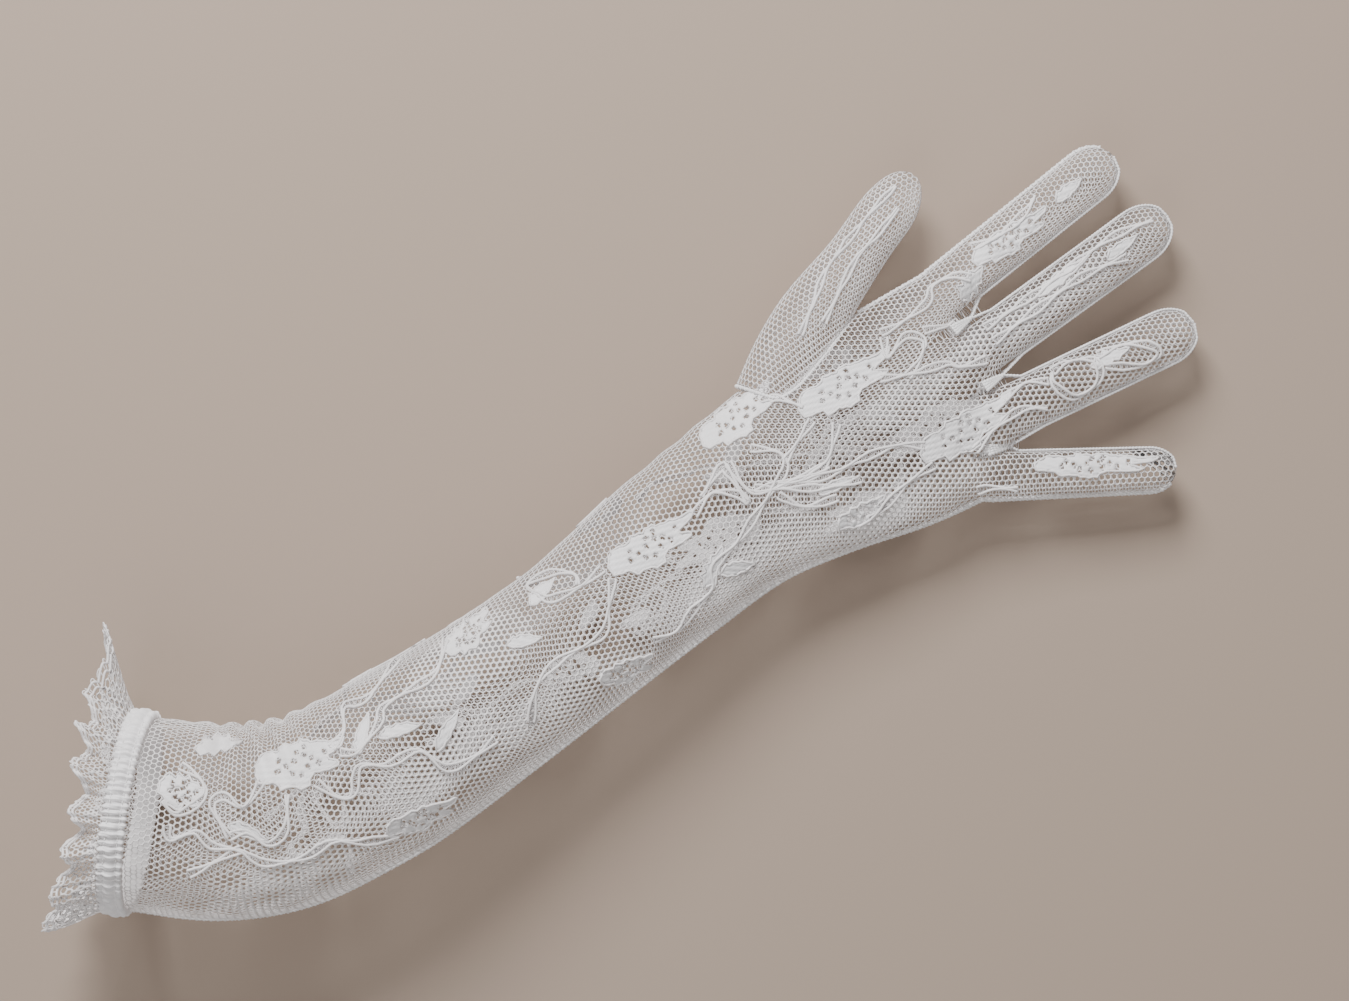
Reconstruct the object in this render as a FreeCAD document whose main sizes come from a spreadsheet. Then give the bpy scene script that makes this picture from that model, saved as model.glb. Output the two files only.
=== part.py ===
import FreeCAD, Part
import math
import os
from FreeCAD import Placement, Rotation, Vector

# A long lace glove for a right hand, in the shape it keeps when worn and laid palm down.
# +X runs along the forearm to the fingers, +Y is the thumb side and +Z is up from the
# surface that the glove lies on. All lengths are in millimetres.

UP = Vector(0, 0, 1)

doc = FreeCAD.newDocument("lace_glove")
sheet = doc.addObject("Spreadsheet::Sheet", "Sizes")

DIMENSIONS = {
    "wall": 1.0,                # thickness of the lace with its raised outline cords
    "cuff_height": 40.0,        # height of the arm opening's centre above the surface
    "axis_fall": 0.069,         # how fast the middle plane drops towards the fingertips
    "band_bore": 35.0,          # inner radius of the arm opening
    "band_casing": 3.4,         # casing from its inner to its outer face
    "band_length": 9.0,         # casing along the arm
    "casing_wall": 0.8,
    "elastic_thick": 1.2,
    "elastic_length": 6.4,
    "seam_radius": 0.9,         # a rolled, overlocked seam
    "corner_seam_radius": 1.1,  # the same where it fills the corner at the thumb
    "fourchette_height": 7.0,   # width of the strips between the fingers
    "ruffle_thick": 1.2,
    "ruffle_waves": 16,
    "ruffle_tongue": 17.0,      # how far the frill stands up on the thumb side
    "border_length": 2.5,
}

# Cross sections of the sleeve and hand, from the arm opening to the finger webs:
# name, x, y, direction of the sleeve in plan (degrees), half width, half height.
SLEEVE = [
    ("cuff", -262.0, 20.5, -41.0, 36.0, 36.0),
    ("upper_arm", -243.0, 4.5, -39.0, 36.2, 35.5),
    ("upper_elbow", -229.0, -4.5, -30.0, 35.5, 34.5),
    ("elbow", -213.5, -10.5, -20.0, 34.8, 33.5),
    ("lower_elbow", -193.0, -13.5, -9.0, 34.0, 32.0),
    ("below_elbow", -172.0, -15.0, -2.0, 33.5, 30.5),
    ("forearm", -130.0, -15.0, 1.0, 31.0, 27.0),
    ("mid_forearm", -90.0, -13.0, 5.0, 30.0, 24.5),
    ("above_wrist", -50.0, -8.5, 5.0, 32.0, 22.5),
    ("wrist", -15.0, -6.0, 0.0, 33.0, 20.5),
    ("heel", 12.0, -7.0, -3.0, 37.0, 18.5),
    ("palm", 45.0, -11.0, -7.0, 42.0, 16.5),
    ("knuckles", 79.0, -13.5, -11.0, 41.5, 13.5),
    ("web", 94.0, -15.0, -12.0, 35.0, 8.5),
]

THUMB = [
    ("thumb_root", 20.0, 18.0, 36.0, 17.0, 12.5),
    ("thumb_base", 45.0, 35.5, 30.0, 14.5, 11.5),
    ("thumb_knuckle", 70.0, 46.0, 22.0, 11.0, 10.2),
    ("thumb_pad", 94.0, 55.0, 20.0, 10.5, 9.5),
    ("thumb_nail", 103.5, 58.6, 20.0, 8.6, 7.8),
    ("thumb_end", 108.5, 60.5, 20.0, 5.6, 5.0),
    ("thumb_tip", 110.5, 61.2, 20.0, 2.6, 2.2),
]

# Fingers: name, root x and y, tip x and y, half width at root and before the tip.
FINGERS = [
    ("index", 74.0, 16.0, 178.5, 25.5, 10.0, 10.3),
    ("middle", 76.0, -9.0, 183.0, -4.5, 10.5, 10.8),
    ("ring", 70.0, -30.5, 169.0, -44.5, 10.8, 10.8),
    ("little", 58.0, -41.0, 132.5, -86.5, 9.6, 8.4),
]
FINGER_DEPTH = 0.88             # height of a finger's section over its width
# Where a finger's sections stand along it, and how full each one is.
FINGER_STEPS = [
    ("root", 0.0, 1.0), ("middle", 0.5, 1.0), ("pad", 0.85, 0.96),
    ("nail", 0.935, 0.78), ("end", 0.98, 0.5), ("tip", 1.0, 0.22),
]


def mix(first, last, share):
    """A value the given share of the way from first to last."""
    return first + (last - first) * share


def finger_stations(name, root_x, root_y, tip_x, tip_y, root_half, pad_half):
    """The named cross sections of one finger, in the same form as SLEEVE."""
    turn = math.degrees(math.atan2(tip_y - root_y, tip_x - root_x))
    stations = []
    for label, share, fullness in FINGER_STEPS:
        half = mix(root_half, pad_half, share) * fullness
        stations.append((f"{name}_{label}_section", mix(root_x, tip_x, share),
                         mix(root_y, tip_y, share), turn, half, half * FINGER_DEPTH))
    return stations


def fill_sheet(rows):
    """Put each (alias, value) pair on its own row of the sheet."""
    for row, (alias, value) in enumerate(rows, start=1):
        sheet.set(f"A{row}", alias)
        sheet.set(f"B{row}", str(value))
        sheet.setAlias(f"B{row}", alias)


FINGER_SECTIONS = {finger[0]: finger_stations(*finger) for finger in FINGERS}
rows = list(DIMENSIONS.items())
for station in SLEEVE + THUMB + sum(FINGER_SECTIONS.values(), []):
    rows.append((f"{station[0]}_half_width", round(station[4], 3)))
    rows.append((f"{station[0]}_half_height", round(station[5], 3)))
fill_sheet(rows)
doc.recompute()


def size(alias):
    """The number that the sheet holds for a driving dimension."""
    return float(sheet.get(alias))


def middle_height(x):
    """Height of the plane through the middle of the glove at a place along it."""
    return size("cuff_height") - size("axis_fall") * (x - SLEEVE[0][1])


def direction(turn):
    """The unit vector that points the given number of degrees round from +X."""
    return Vector(math.cos(math.radians(turn)), math.sin(math.radians(turn)), 0)


def across(turn):
    """The level unit vector across a sleeve that runs in direction(turn)."""
    return direction(turn + 90)


def tube(name, stations, grow, start_shift, end_shift):
    """A closed loft through the stations, each section larger all round by the
    expression grow; its two end sections slide along the tube by the shifts."""
    sections = []
    for index, (label, x, y, turn, _, _) in enumerate(stations):
        section = doc.addObject("Part::Ellipse", f"{name}_{label}")
        section.setExpression("MajorRadius", f"Sizes.{label}_half_width + {grow}")
        section.setExpression("MinorRadius", f"Sizes.{label}_half_height + {grow}")
        slide = 0.0
        if index == 0:
            slide = start_shift
        if index == len(stations) - 1:
            slide = end_shift
        centre = Vector(x, y, middle_height(x)) + direction(turn) * slide
        section.Placement = Placement(centre, Rotation(across(turn), UP, direction(turn), "ZXY"))
        sections.append(section)
    loft = doc.addObject("Part::Loft", name)
    loft.Sections = sections
    loft.Solid = True
    loft.Ruled = True
    return loft


def fuse(name, shapes):
    """One solid made of all the shapes."""
    fusion = doc.addObject("Part::MultiFuse", name)
    fusion.Shapes = shapes
    return fusion


def cut(name, base, tool):
    """The base with the tool taken away."""
    result = doc.addObject("Part::Cut", name)
    result.Base = base
    result.Tool = tool
    return result


def common(name, base, tool):
    """What the base and the tool share."""
    result = doc.addObject("Part::Common", name)
    result.Base = base
    result.Tool = tool
    return result


SPACE = 1200.0                  # larger than the glove in every direction


def middle_slab(name, low, high):
    """A wide slab that follows the glove's middle plane, from low to high above it."""
    slab = doc.addObject("Part::Box", name)
    slab.Length = SPACE
    slab.Width = SPACE
    slab.Height = high - low
    tilt = Rotation(Vector(0, 1, 0), math.degrees(math.atan(size("axis_fall"))))
    corner = tilt.multVec(Vector(-SPACE / 2, -SPACE / 2, low))
    slab.Placement = Placement(Vector(0, 0, middle_height(0)) + corner, tilt)
    return slab


def prism(name, outline):
    """A tall prism over a plan outline, a list of (x, y) corners."""
    edge = doc.addObject("Part::Polygon", f"{name}_outline")
    edge.Nodes = [Vector(x, y, 0) for x, y in outline]
    edge.Close = True
    solid = doc.addObject("Part::Extrusion", name)
    solid.Base = edge
    solid.Dir = UP
    solid.LengthFwd = SPACE / 4
    solid.Solid = True
    return solid


# ---- the lace skin: everything inside its outer face, less everything inside its inner one
WALL = size("wall")
sleeve_outer = tube("sleeve_outer", SLEEVE, "0", 0, 0)
sleeve_inner = tube("sleeve_inner", SLEEVE, "-Sizes.wall", -2 * WALL, -WALL)
fingers_outer = []
fingers_inner = []
for name, stations in FINGER_SECTIONS.items():
    fingers_outer.append(tube(f"{name}_outer", stations, "0", 0, 0))
    fingers_inner.append(tube(f"{name}_inner", stations, "-Sizes.wall", -WALL, -WALL))
thumb_outer = tube("thumb_outer", THUMB, "0", 0, 0)
thumb_inner = tube("thumb_inner", THUMB, "-Sizes.wall", -WALL, -WALL)

hand_outer = fuse("hand_outer", [sleeve_outer] + fingers_outer)
hand_inner = fuse("hand_inner", [sleeve_inner] + fingers_inner)
hand_skin = cut("hand_skin", hand_outer, hand_inner)
hand_wall = cut("hand_wall", hand_skin, thumb_inner)

# ---- the strips between neighbouring fingers, from one finger's middle line to the next's
FOURCHETTES = [("index", "middle"), ("middle", "ring"), ("ring", "little")]
FINGER_ENDS = {finger[0]: finger[1:5] for finger in FINGERS}
FINGER_REACH = 1.12             # the strips' outlines run this far past the fingertips
FINGER_START = 0.06


def along_finger(name, share):
    """The plan point the given share of the way along a finger's middle line."""
    root_x, root_y, tip_x, tip_y = FINGER_ENDS[name]
    return mix(root_x, tip_x, share), mix(root_y, tip_y, share)


half_strip = size("fourchette_height") / 2
strip_layer = middle_slab("strip_layer", -half_strip, half_strip)
strips = []
gaps = []
for upper, lower in FOURCHETTES:
    name = f"fourchette_{upper}_{lower}"
    outline = [
        along_finger(upper, FINGER_START), along_finger(upper, FINGER_REACH),
        along_finger(lower, FINGER_REACH), along_finger(lower, FINGER_START),
    ]
    gap = common(f"{name}_gap", prism(f"{name}_prism", outline), strip_layer)
    gaps.append(gap)
    strips.append(common(name, hand_wall, gap))

HALVES = {
    "back": middle_slab("back_half", 0, SPACE / 4),
    "palm": middle_slab("palm_half", -SPACE / 4, 0),
}

# ---- each panel in parts: the sleeve up to the wrist, the hand, and the four fingers
WRIST_X = -20.0
BEYOND_WEB = 2.5                # the fingers' parts begin this far past the webs


def half_space(name, point, turn):
    """A block that fills everything past a plan point in the given direction."""
    block = doc.addObject("Part::Box", name)
    block.Length = SPACE
    block.Width = SPACE
    block.Height = SPACE
    heading = Rotation(UP, turn)
    corner = heading.multVec(Vector(0, -SPACE / 2, -SPACE / 2))
    block.Placement = Placement(point + corner, heading)
    return block


def piece(name, shape):
    """A sub-part whose shape is made directly."""
    item = doc.addObject("Part::Feature", name)
    item.Shape = shape
    return item


past_wrist = half_space("past_wrist", Vector(WRIST_X, 0, 0), 0)
web_x, web_y, web_turn = SLEEVE[-1][1:4]
web_point = Vector(web_x, web_y, 0) + direction(web_turn) * BEYOND_WEB
past_web = half_space("past_web", web_point, web_turn)
stubs = [cut(f"{outer.Name}_stub", outer, past_web) for outer in fingers_outer]
short_skin = cut("short_skin", fuse("short_outer", [sleeve_outer] + stubs), hand_inner)
short_wall = cut("short_wall", short_skin, thumb_inner)
for gap in gaps:
    short_wall = cut(f"{gap.Name}_from_hand", short_wall, gap)
panel_parts = {}
for face, half in HALVES.items():
    short_half = common(f"{face}_short", short_wall, half)
    panel_parts[f"{face}_sleeve"] = cut(f"{face}_sleeve", short_half, past_wrist)
    panel_parts[f"{face}_hand"] = common(f"{face}_hand", short_half, past_wrist)
for name, outer, inner in zip(FINGER_ENDS, fingers_outer, fingers_inner):
    finger_wall = cut(f"{name}_wall", common(f"{name}_past_web", outer, past_web), inner)
    for pair, gap in zip(FOURCHETTES, gaps):
        if name in pair:
            finger_wall = cut(f"{gap.Name}_from_{name}", finger_wall, gap)
    for face, half in HALVES.items():
        panel_parts[f"{face}_{name}"] = common(f"{face}_{name}", finger_wall, half)

# ---- the thumb, set into an opening of the hand and joined by a raised seam
thumb_skin = cut("thumb_skin", thumb_outer, thumb_inner)
THUMB_JOIN = 0.25               # its halves meet just above the glove's middle plane
thumb_above = common("thumb_above", thumb_skin, middle_slab("above_join", THUMB_JOIN, SPACE / 4))
thumb_below = common("thumb_below", thumb_skin, middle_slab("below_join", -SPACE / 4, THUMB_JOIN))
thumb_back = cut("thumb_back", thumb_above, hand_outer)
thumb_palm = cut("thumb_palm", thumb_below, hand_outer)


def seam_bead(points):
    """A rolled seam along an open line of points."""
    rounds = []
    for index, point in enumerate(points):
        before = points[max(index - 1, 0)]
        after = points[min(index + 1, len(points) - 1)]
        rounds.append(Part.Wire(Part.makeCircle(size("seam_radius"), point, after - before)))
    return Part.makeLoft(rounds, True, True)


def seam_ring(points, tools):
    """A rolled seam in the corner between two tubes, less what the tubes cover of it."""
    radius = size("corner_seam_radius")
    balls = [Part.makeSphere(radius, point) for point in points]
    rods = [Part.makeCylinder(radius, (end - start).Length, start, end - start)
            for start, end in zip(points, points[1:])]
    bead = rods[0].fuse(rods[1:] + balls[1:-1])
    for tool in tools:
        bead = bead.cut(tool.Shape)
    return bead


SEAM_GAP = 0.05                 # between a side seam and the edge that it runs along
CROSSING_SPARE = 2.0
FULL_SECTIONS = 4               # the seams end before a finger's last two sections


def edge_points(stations, side):
    """The line of a seam just outside one edge of a tube: side is 1 or -1."""
    points = []
    for _, x, y, turn, half_width, _ in stations:
        reach = half_width + size("seam_radius") + SEAM_GAP
        points.append(Vector(x, y, middle_height(x)) + across(turn) * (side * reach))
    return points


doc.recompute()
THUMB_SEAM_POINTS = 26
meeting = thumb_outer.Shape.section(hand_outer.Shape)
loop = Part.Wire(Part.__sortEdges__(meeting.Edges))
ring_points = loop.discretize(THUMB_SEAM_POINTS)
thumb_seam = piece("thumb_seam", seam_ring(ring_points, [thumb_outer, hand_outer]))


def outline_edge(finger, side, start):
    """One edge of the glove's outline, from the place start along it, on to a finger."""
    sleeve_edge = edge_points(SLEEVE, side)
    finger_edge = edge_points(FINGER_SECTIONS[finger][:FULL_SECTIONS], side)
    crossing = Part.makePolygon(sleeve_edge).distToShape(Part.makePolygon(finger_edge))[1][0][0]
    before = crossing.x - CROSSING_SPARE
    after = crossing.x + CROSSING_SPARE
    points = [point for point in sleeve_edge if start < point.x < before]
    return points + [crossing] + [point for point in finger_edge if point.x > after]


# ---- overlocked seams along the two edges where the back and the palm meet
side_seam = piece("side_seam", seam_bead(outline_edge("little", -1, -SPACE)))
index_seam = piece("index_seam", seam_bead(outline_edge("index", 1, SLEEVE[-3][1])))

# ---- the arm opening: a folded casing with an elastic ring inside it
OPENING_TURN = SLEEVE[0][3] + 180
OUTWARD = direction(OPENING_TURN)
CUFF_CENTRE = Vector(SLEEVE[0][1], SLEEVE[0][2], size("cuff_height"))
OPENING_AXES = Rotation(across(OPENING_TURN), UP, OUTWARD, "ZXY")


def ring(name, inner, outer, length, start):
    """A round ring about the arm opening's axis. Its radii and length are expressions,
    and start is how far outward of the sleeve's edge it begins."""
    rods = []
    for label, radius, spare in (("outside", outer, 0), ("bore", inner, 2)):
        rod = doc.addObject("Part::Cylinder", f"{name}_{label}")
        rod.setExpression("Radius", radius)
        rod.setExpression("Height", f"{length} + {2 * spare}")
        rod.Placement = Placement(CUFF_CENTRE + OUTWARD * (start - spare), OPENING_AXES)
        rods.append(rod)
    return cut(name, rods[0], rods[1])


BORE = "Sizes.band_bore"
CASING = "Sizes.casing_wall"
CAVITY_GAP = 0.3                # slack round the elastic inside its casing
POCKET = f"{BORE} + Sizes.band_casing - {CASING}"
END_WALL = (size("band_length") - size("elastic_length")) / 2
pocket = ring("casing_pocket", f"{BORE} + {CASING}", POCKET,
              f"Sizes.elastic_length + {2 * CAVITY_GAP}", END_WALL - CAVITY_GAP)
band = ring("casing_solid", BORE, f"{BORE} + Sizes.band_casing", "Sizes.band_length", 0)
band_casing = cut("band_casing", band, pocket)
elastic = ring("elastic_ring", f"{BORE} + {CASING} + {CAVITY_GAP}",
               f"{BORE} + {CASING} + {CAVITY_GAP} + Sizes.elastic_thick",
               "Sizes.elastic_length", END_WALL)

# ---- the gathered frill: distance out from the sleeve's edge, mean radius, depth of its
# waves, height of its tongue and how much it is flattened where it lies on the surface
FRILL = [
    (size("band_length"), 36.8, 0.1, 0.0, 1.0),
    (11.5, 38.3, 1.0, 5.0, 0.985),
    (15.0, 40.7, 2.0, 12.0, 0.96),
    (19.0, 43.2, 2.8, size("ruffle_tongue"), 0.92),
]
TONGUE_WIDTH = 0.30             # radians
POINTS_PER_WAVE = 6


def frill_curve(row, inset):
    """A closed wavy curve round the arm opening's axis, inset by the given amount."""
    out, radius, wave, tongue, flat = row
    waves = int(size("ruffle_waves"))
    points = []
    for step in range(waves * POINTS_PER_WAVE):
        angle = 2 * math.pi * step / (waves * POINTS_PER_WAVE)
        # angle 0 is level, on the little finger's side, and the tongue is opposite
        past = angle - math.pi
        reach = radius - inset + wave * math.cos(waves * angle)
        reach += tongue * math.exp(-((past / TONGUE_WIDTH) ** 2))
        level = across(OPENING_TURN) * (reach * math.cos(angle))
        points.append(CUFF_CENTRE + OUTWARD * out + level + UP * (reach * flat * math.sin(angle)))
    curve = Part.BSplineCurve()
    curve.interpolate(points, True)
    return Part.Wire(curve.toShape())


def frill_solid(rows, inset):
    """The solid whose side runs through the rows, each inset by the given amount."""
    solid = Part.makeLoft([frill_curve(row, inset) for row in rows], True, True)
    if solid.Volume < 0:
        solid.reverse()
    return solid


def frill_shell(rows):
    """The cloth between the outer face through the rows and the face inside it."""
    spare = 1.0
    before = (rows[0][0] - spare,) + rows[0][1:]
    after = (rows[-1][0] + spare,) + rows[-1][1:]
    inner = frill_solid([before] + rows + [after], size("ruffle_thick"))
    return frill_solid(rows, 0).cut(inner)


def border_rows():
    """The scalloped edging carries on from the frill's last row."""
    out, radius, wave, tongue, flat = FRILL[-1]
    length = size("border_length")
    return [(out, radius, wave, tongue, flat),
            (out + length / 2, radius + 0.5, wave, tongue, flat),
            (out + length, radius + 0.9, wave, tongue, flat - 0.01)]


ruffle = piece("ruffle", frill_shell(FRILL))
ruffle_border = piece("ruffle_border", frill_shell(border_rows()))

doc.recompute()

# ---- the pieces, each under its own label, with the glove's box centred on the origin
NODES = {
    **panel_parts,
    "thumb_back": thumb_back, "thumb_palm": thumb_palm,
    "thumb_seam": thumb_seam, "side_seam": side_seam, "index_seam": index_seam,
    "fourchette_index_middle": strips[0], "fourchette_middle_ring": strips[1],
    "fourchette_ring_little": strips[2], "band_casing": band_casing,
    "elastic_ring": elastic, "ruffle": ruffle, "ruffle_border": ruffle_border,
}


def check_shapes():
    """Stop if an object failed to build or a piece has no sound solid."""
    for item in doc.Objects:
        if "Invalid" in item.State or "Error" in item.State:
            raise RuntimeError(f"{item.Name} failed: {item.State}")
    for label, node in NODES.items():
        shape = node.Shape
        if shape.isNull() or not shape.isValid() or not shape.Solids:
            raise RuntimeError(f"{label} has no valid shape")


check_shapes()
whole = FreeCAD.BoundBox()
for node in NODES.values():
    whole.add(node.Shape.optimalBoundingBox(False))
shift = Vector(-whole.Center.x, -whole.Center.y, -whole.ZMin)
for label, node in NODES.items():
    node.Label = label
    node.Placement = Placement(shift, Rotation())
doc.recompute()

check_shapes()

os.makedirs("parts", exist_ok=True)
for label, node in NODES.items():
    node.Shape.exportStep(f"parts/{label}.step")
    box = node.Shape.optimalBoundingBox(False)
    print(f"{label}: {len(node.Shape.Solids)} solids, {node.Shape.Volume:.0f} mm3, "
          f"x {box.XMin:.1f} {box.XMax:.1f}, y {box.YMin:.1f} {box.YMax:.1f}, "
          f"z {box.ZMin:.1f} {box.ZMax:.1f}")
print("box", whole.XLength, whole.YLength, whole.ZLength, "shift", shift)
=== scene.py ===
import math

import bmesh
import bpy
import numpy as np
from mathutils import Matrix, Vector
from mathutils.kdtree import KDTree


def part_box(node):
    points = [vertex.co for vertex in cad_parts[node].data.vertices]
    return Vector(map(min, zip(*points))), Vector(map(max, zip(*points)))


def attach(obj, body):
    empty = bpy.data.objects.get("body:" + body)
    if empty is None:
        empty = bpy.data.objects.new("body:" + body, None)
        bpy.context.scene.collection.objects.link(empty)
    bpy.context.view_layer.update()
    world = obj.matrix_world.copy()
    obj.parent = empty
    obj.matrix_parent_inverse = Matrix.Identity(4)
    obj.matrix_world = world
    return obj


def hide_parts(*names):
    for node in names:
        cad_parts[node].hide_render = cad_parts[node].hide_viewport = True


# A long lace glove, knotted cell by cell. The lace is laid out flat, as a maker cuts it, and
# every point of the flat pattern is then carried on to the worn shape. Lengths are in
# millimetres until a mesh is written, in metres.

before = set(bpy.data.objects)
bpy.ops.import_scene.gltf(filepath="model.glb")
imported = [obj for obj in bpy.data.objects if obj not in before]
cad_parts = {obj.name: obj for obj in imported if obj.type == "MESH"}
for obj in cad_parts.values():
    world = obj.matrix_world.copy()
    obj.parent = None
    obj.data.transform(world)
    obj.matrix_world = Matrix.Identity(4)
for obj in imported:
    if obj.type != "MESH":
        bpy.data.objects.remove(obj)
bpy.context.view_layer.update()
MM = 0.001

# ------------------------------------------------------------------ the worn shape
OPENING_TURN = math.radians(139.0)
OUTWARD = np.array([math.cos(OPENING_TURN), math.sin(OPENING_TURN), 0.0])
ACROSS_OPENING = np.array([-OUTWARD[1], OUTWARD[0], 0.0])
CUFF = np.array([-262.0, 20.5, 40.0])       # centre of the arm opening, before the shift
BAND_LENGTH = 9.0
AXIS_FALL = 0.069                           # the middle plane drops this much per mm of X

band_low, band_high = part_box("band_casing")
BAND_CENTRE = (np.array(band_low) + np.array(band_high)) / 2 / MM
SHIFT = BAND_CENTRE - CUFF - OUTWARD * (BAND_LENGTH / 2)

# Sections of the sleeve and hand: x, y, direction in plan (degrees), half width, half height.
BODY = np.array([
    (-262.0, 20.5, -41.0, 35.4, 35.4), (-243.0, 4.5, -39.0, 36.0, 35.3),
    (-229.0, -4.5, -30.0, 35.3, 34.3), (-213.5, -10.5, -20.0, 34.6, 33.3),
    (-193.0, -13.5, -9.0, 33.8, 31.8), (-172.0, -15.0, -3.0, 33.3, 30.3),
    (-130.0, -15.0, 1.0, 30.8, 26.8), (-90.0, -13.0, 4.0, 29.8, 24.3),
    (-50.0, -8.5, 4.0, 31.6, 22.3), (-15.0, -6.0, 0.0, 32.8, 20.3),
    (12.0, -7.0, 0.0, 36.6, 18.3), (45.0, -11.0, 0.0, 41.2, 16.0),
    (72.0, -13.5, 0.0, 42.2, 13.6), (100.0, -14.0, 0.0, 41.0, 10.5),
])
HAND_X = 45.0                               # flat lengths are counted so that u is x here

THUMB = np.array([
    (20.0, 18.0, 36.0, 17.0, 12.5), (45.0, 35.5, 30.0, 14.3, 11.3),
    (70.0, 46.0, 22.0, 10.9, 10.0), (94.0, 55.0, 20.0, 10.3, 9.3),
    (103.5, 58.6, 20.0, 8.4, 7.6), (108.5, 60.5, 20.0, 5.2, 4.6),
    (110.6, 61.2, 20.0, 1.6, 1.5),
])

# Fingers: root x and y, tip x and y, half width at root and before the tip.
FINGERS = {
    "index": (74.0, 16.0, 178.5, 25.5, 9.9, 10.2),
    "middle": (76.0, -9.0, 183.0, -4.5, 10.4, 10.7),
    "ring": (70.0, -30.5, 169.0, -44.5, 10.6, 10.6),
    "little": (58.0, -41.0, 132.5, -86.5, 9.4, 8.3),
}
FINGER_DEPTH = 0.88
STRIP_HALF = 3.5                            # half the width of the strips between fingers

QUARTER = math.pi / 2


def between(start, end, slope_in, slope_out, part):
    """The place a share of the way along a smooth arc from start to end."""
    a, b = part * part, part ** 3
    return ((2 * b - 3 * a + 1) * start + (b - 2 * a + part) * slope_in
            + (3 * a - 2 * b) * end + (b - a) * slope_out)


def spline(table, step=1.0):
    """A smooth line through the rows of a table, one row about every step mm. Its first
    two columns are x and y; the result has the length along it as column 0."""
    count = len(table)
    rows = []
    for index in range(count - 1):
        before = table[max(index - 1, 0)]
        start, end = table[index], table[index + 1]
        after = table[min(index + 2, count - 1)]
        span = math.dist(start[:2], end[:2])
        back = max(math.dist(before[:2], start[:2]), 1e-6)
        ahead = max(math.dist(end[:2], after[:2]), 1e-6)
        slope_in = (end - before) / (span + (back if index else 0)) * span
        slope_out = (after - start) / (span + (ahead if index < count - 2 else 0)) * span
        for part in np.arange(0, 1, 1 / max(int(span / step), 2)):
            rows.append(between(start, end, slope_in, slope_out, part))
    rows.append(table[-1])
    rows = np.array(rows)
    steps = np.hypot(np.diff(rows[:, 0]), np.diff(rows[:, 1]))
    return np.column_stack([np.concatenate([[0], np.cumsum(steps)]), rows])


def arc_table():
    """Arc length against angle for ellipses: for each flatness, the angle at each share
    of the way from the crest to the side."""
    flatness = np.linspace(0.2, 1.0, 33)
    shares = np.linspace(0, 1, 65)
    angles = np.linspace(0, QUARTER, 400)
    table, quarters = [], []
    for ratio in flatness:
        speed = np.hypot(np.cos(angles), ratio * np.sin(angles))
        length = np.concatenate([[0], np.cumsum((speed[1:] + speed[:-1]) / 2 * np.diff(angles))])
        quarters.append(length[-1])
        table.append(np.interp(shares * length[-1], length, angles))
    return flatness, np.array(table), np.array(quarters)


FLATNESS, ARC_ANGLES, ARC_QUARTERS = arc_table()


class Tube:
    """A bent tube of elliptical section. A point on it has a length u along it and an arc
    length w from its crest (face 1) or its underside (face -1) towards the thumb side."""

    def __init__(self, table, start=0.0):
        self.rows = spline(np.asarray(table, float))
        self.rows[:, 0] += start
        self.u = self.rows[:, 0]

    def section(self, u):
        """Centre, direction, across vector and half sizes at the lengths u."""
        x, y, turn, half, high = (np.interp(u, self.u, self.rows[:, k]) for k in range(1, 6))
        turn = np.radians(turn)
        zero = np.zeros_like(turn)
        centre = np.stack([x, y, CUFF[2] - AXIS_FALL * (x - CUFF[0])], -1)
        ahead = np.stack([np.cos(turn), np.sin(turn), zero], -1)
        across = np.stack([-np.sin(turn), np.cos(turn), zero], -1)
        past = np.where(u < self.u[0], u - self.u[0], np.where(u > self.u[-1], u - self.u[-1], 0))
        return centre + ahead * past[..., None], ahead, across, half, high

    def quarter(self, u):
        """Arc length from crest to side at the lengths u."""
        _, _, _, half, high = self.section(np.asarray(u, float))
        return half * np.interp(high / half, FLATNESS, ARC_QUARTERS)

    def angle(self, half, high, w):
        """The ellipse angle at arc length w from the crest."""
        ratio = np.clip(high / half, FLATNESS[0], FLATNESS[-1])
        share = np.abs(w) / (half * np.interp(ratio, FLATNESS, ARC_QUARTERS))
        inside = np.clip(share, 0, 1)
        row = (ratio - FLATNESS[0]) / (FLATNESS[1] - FLATNESS[0])
        low = np.clip(row.astype(int), 0, len(FLATNESS) - 2)
        column = inside * 64
        left = np.clip(column.astype(int), 0, 63)
        fr, fc = row - low, column - left
        value = ((ARC_ANGLES[low, left] * (1 - fc) + ARC_ANGLES[low, left + 1] * fc) * (1 - fr)
                 + (ARC_ANGLES[low + 1, left] * (1 - fc) + ARC_ANGLES[low + 1, left + 1] * fc) * fr)
        return np.sign(w) * (value + np.clip(share - 1, 0, None) * QUARTER)

    def point(self, u, w, face):
        """Places on the tube and the outward directions there."""
        centre, _, across, half, high = self.section(u)
        angle = self.angle(half, high, w)
        out, up = np.sin(angle), np.cos(angle) * face
        place = centre + across * (half * out)[..., None]
        place[..., 2] += high * up
        normal = across * (out / half)[..., None]
        normal[..., 2] += up / high
        return place, normal / np.linalg.norm(normal, axis=-1, keepdims=True)

    def depth(self, places):
        """How far inside the tube each place is: below 1 inside, above 1 outside."""
        centre, ahead, across, half, high = self.section(self.u)
        best = np.full(len(places), 9.0)
        for k in range(0, len(self.u), 3):
            offset = places - centre[k]
            side = offset @ across[k] / half[k]
            rise = offset[:, 2] / high[k]
            along = offset @ ahead[k] / 6.0
            best = np.minimum(best, np.sqrt(side ** 2 + rise ** 2 + along ** 2))
        return best


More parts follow.
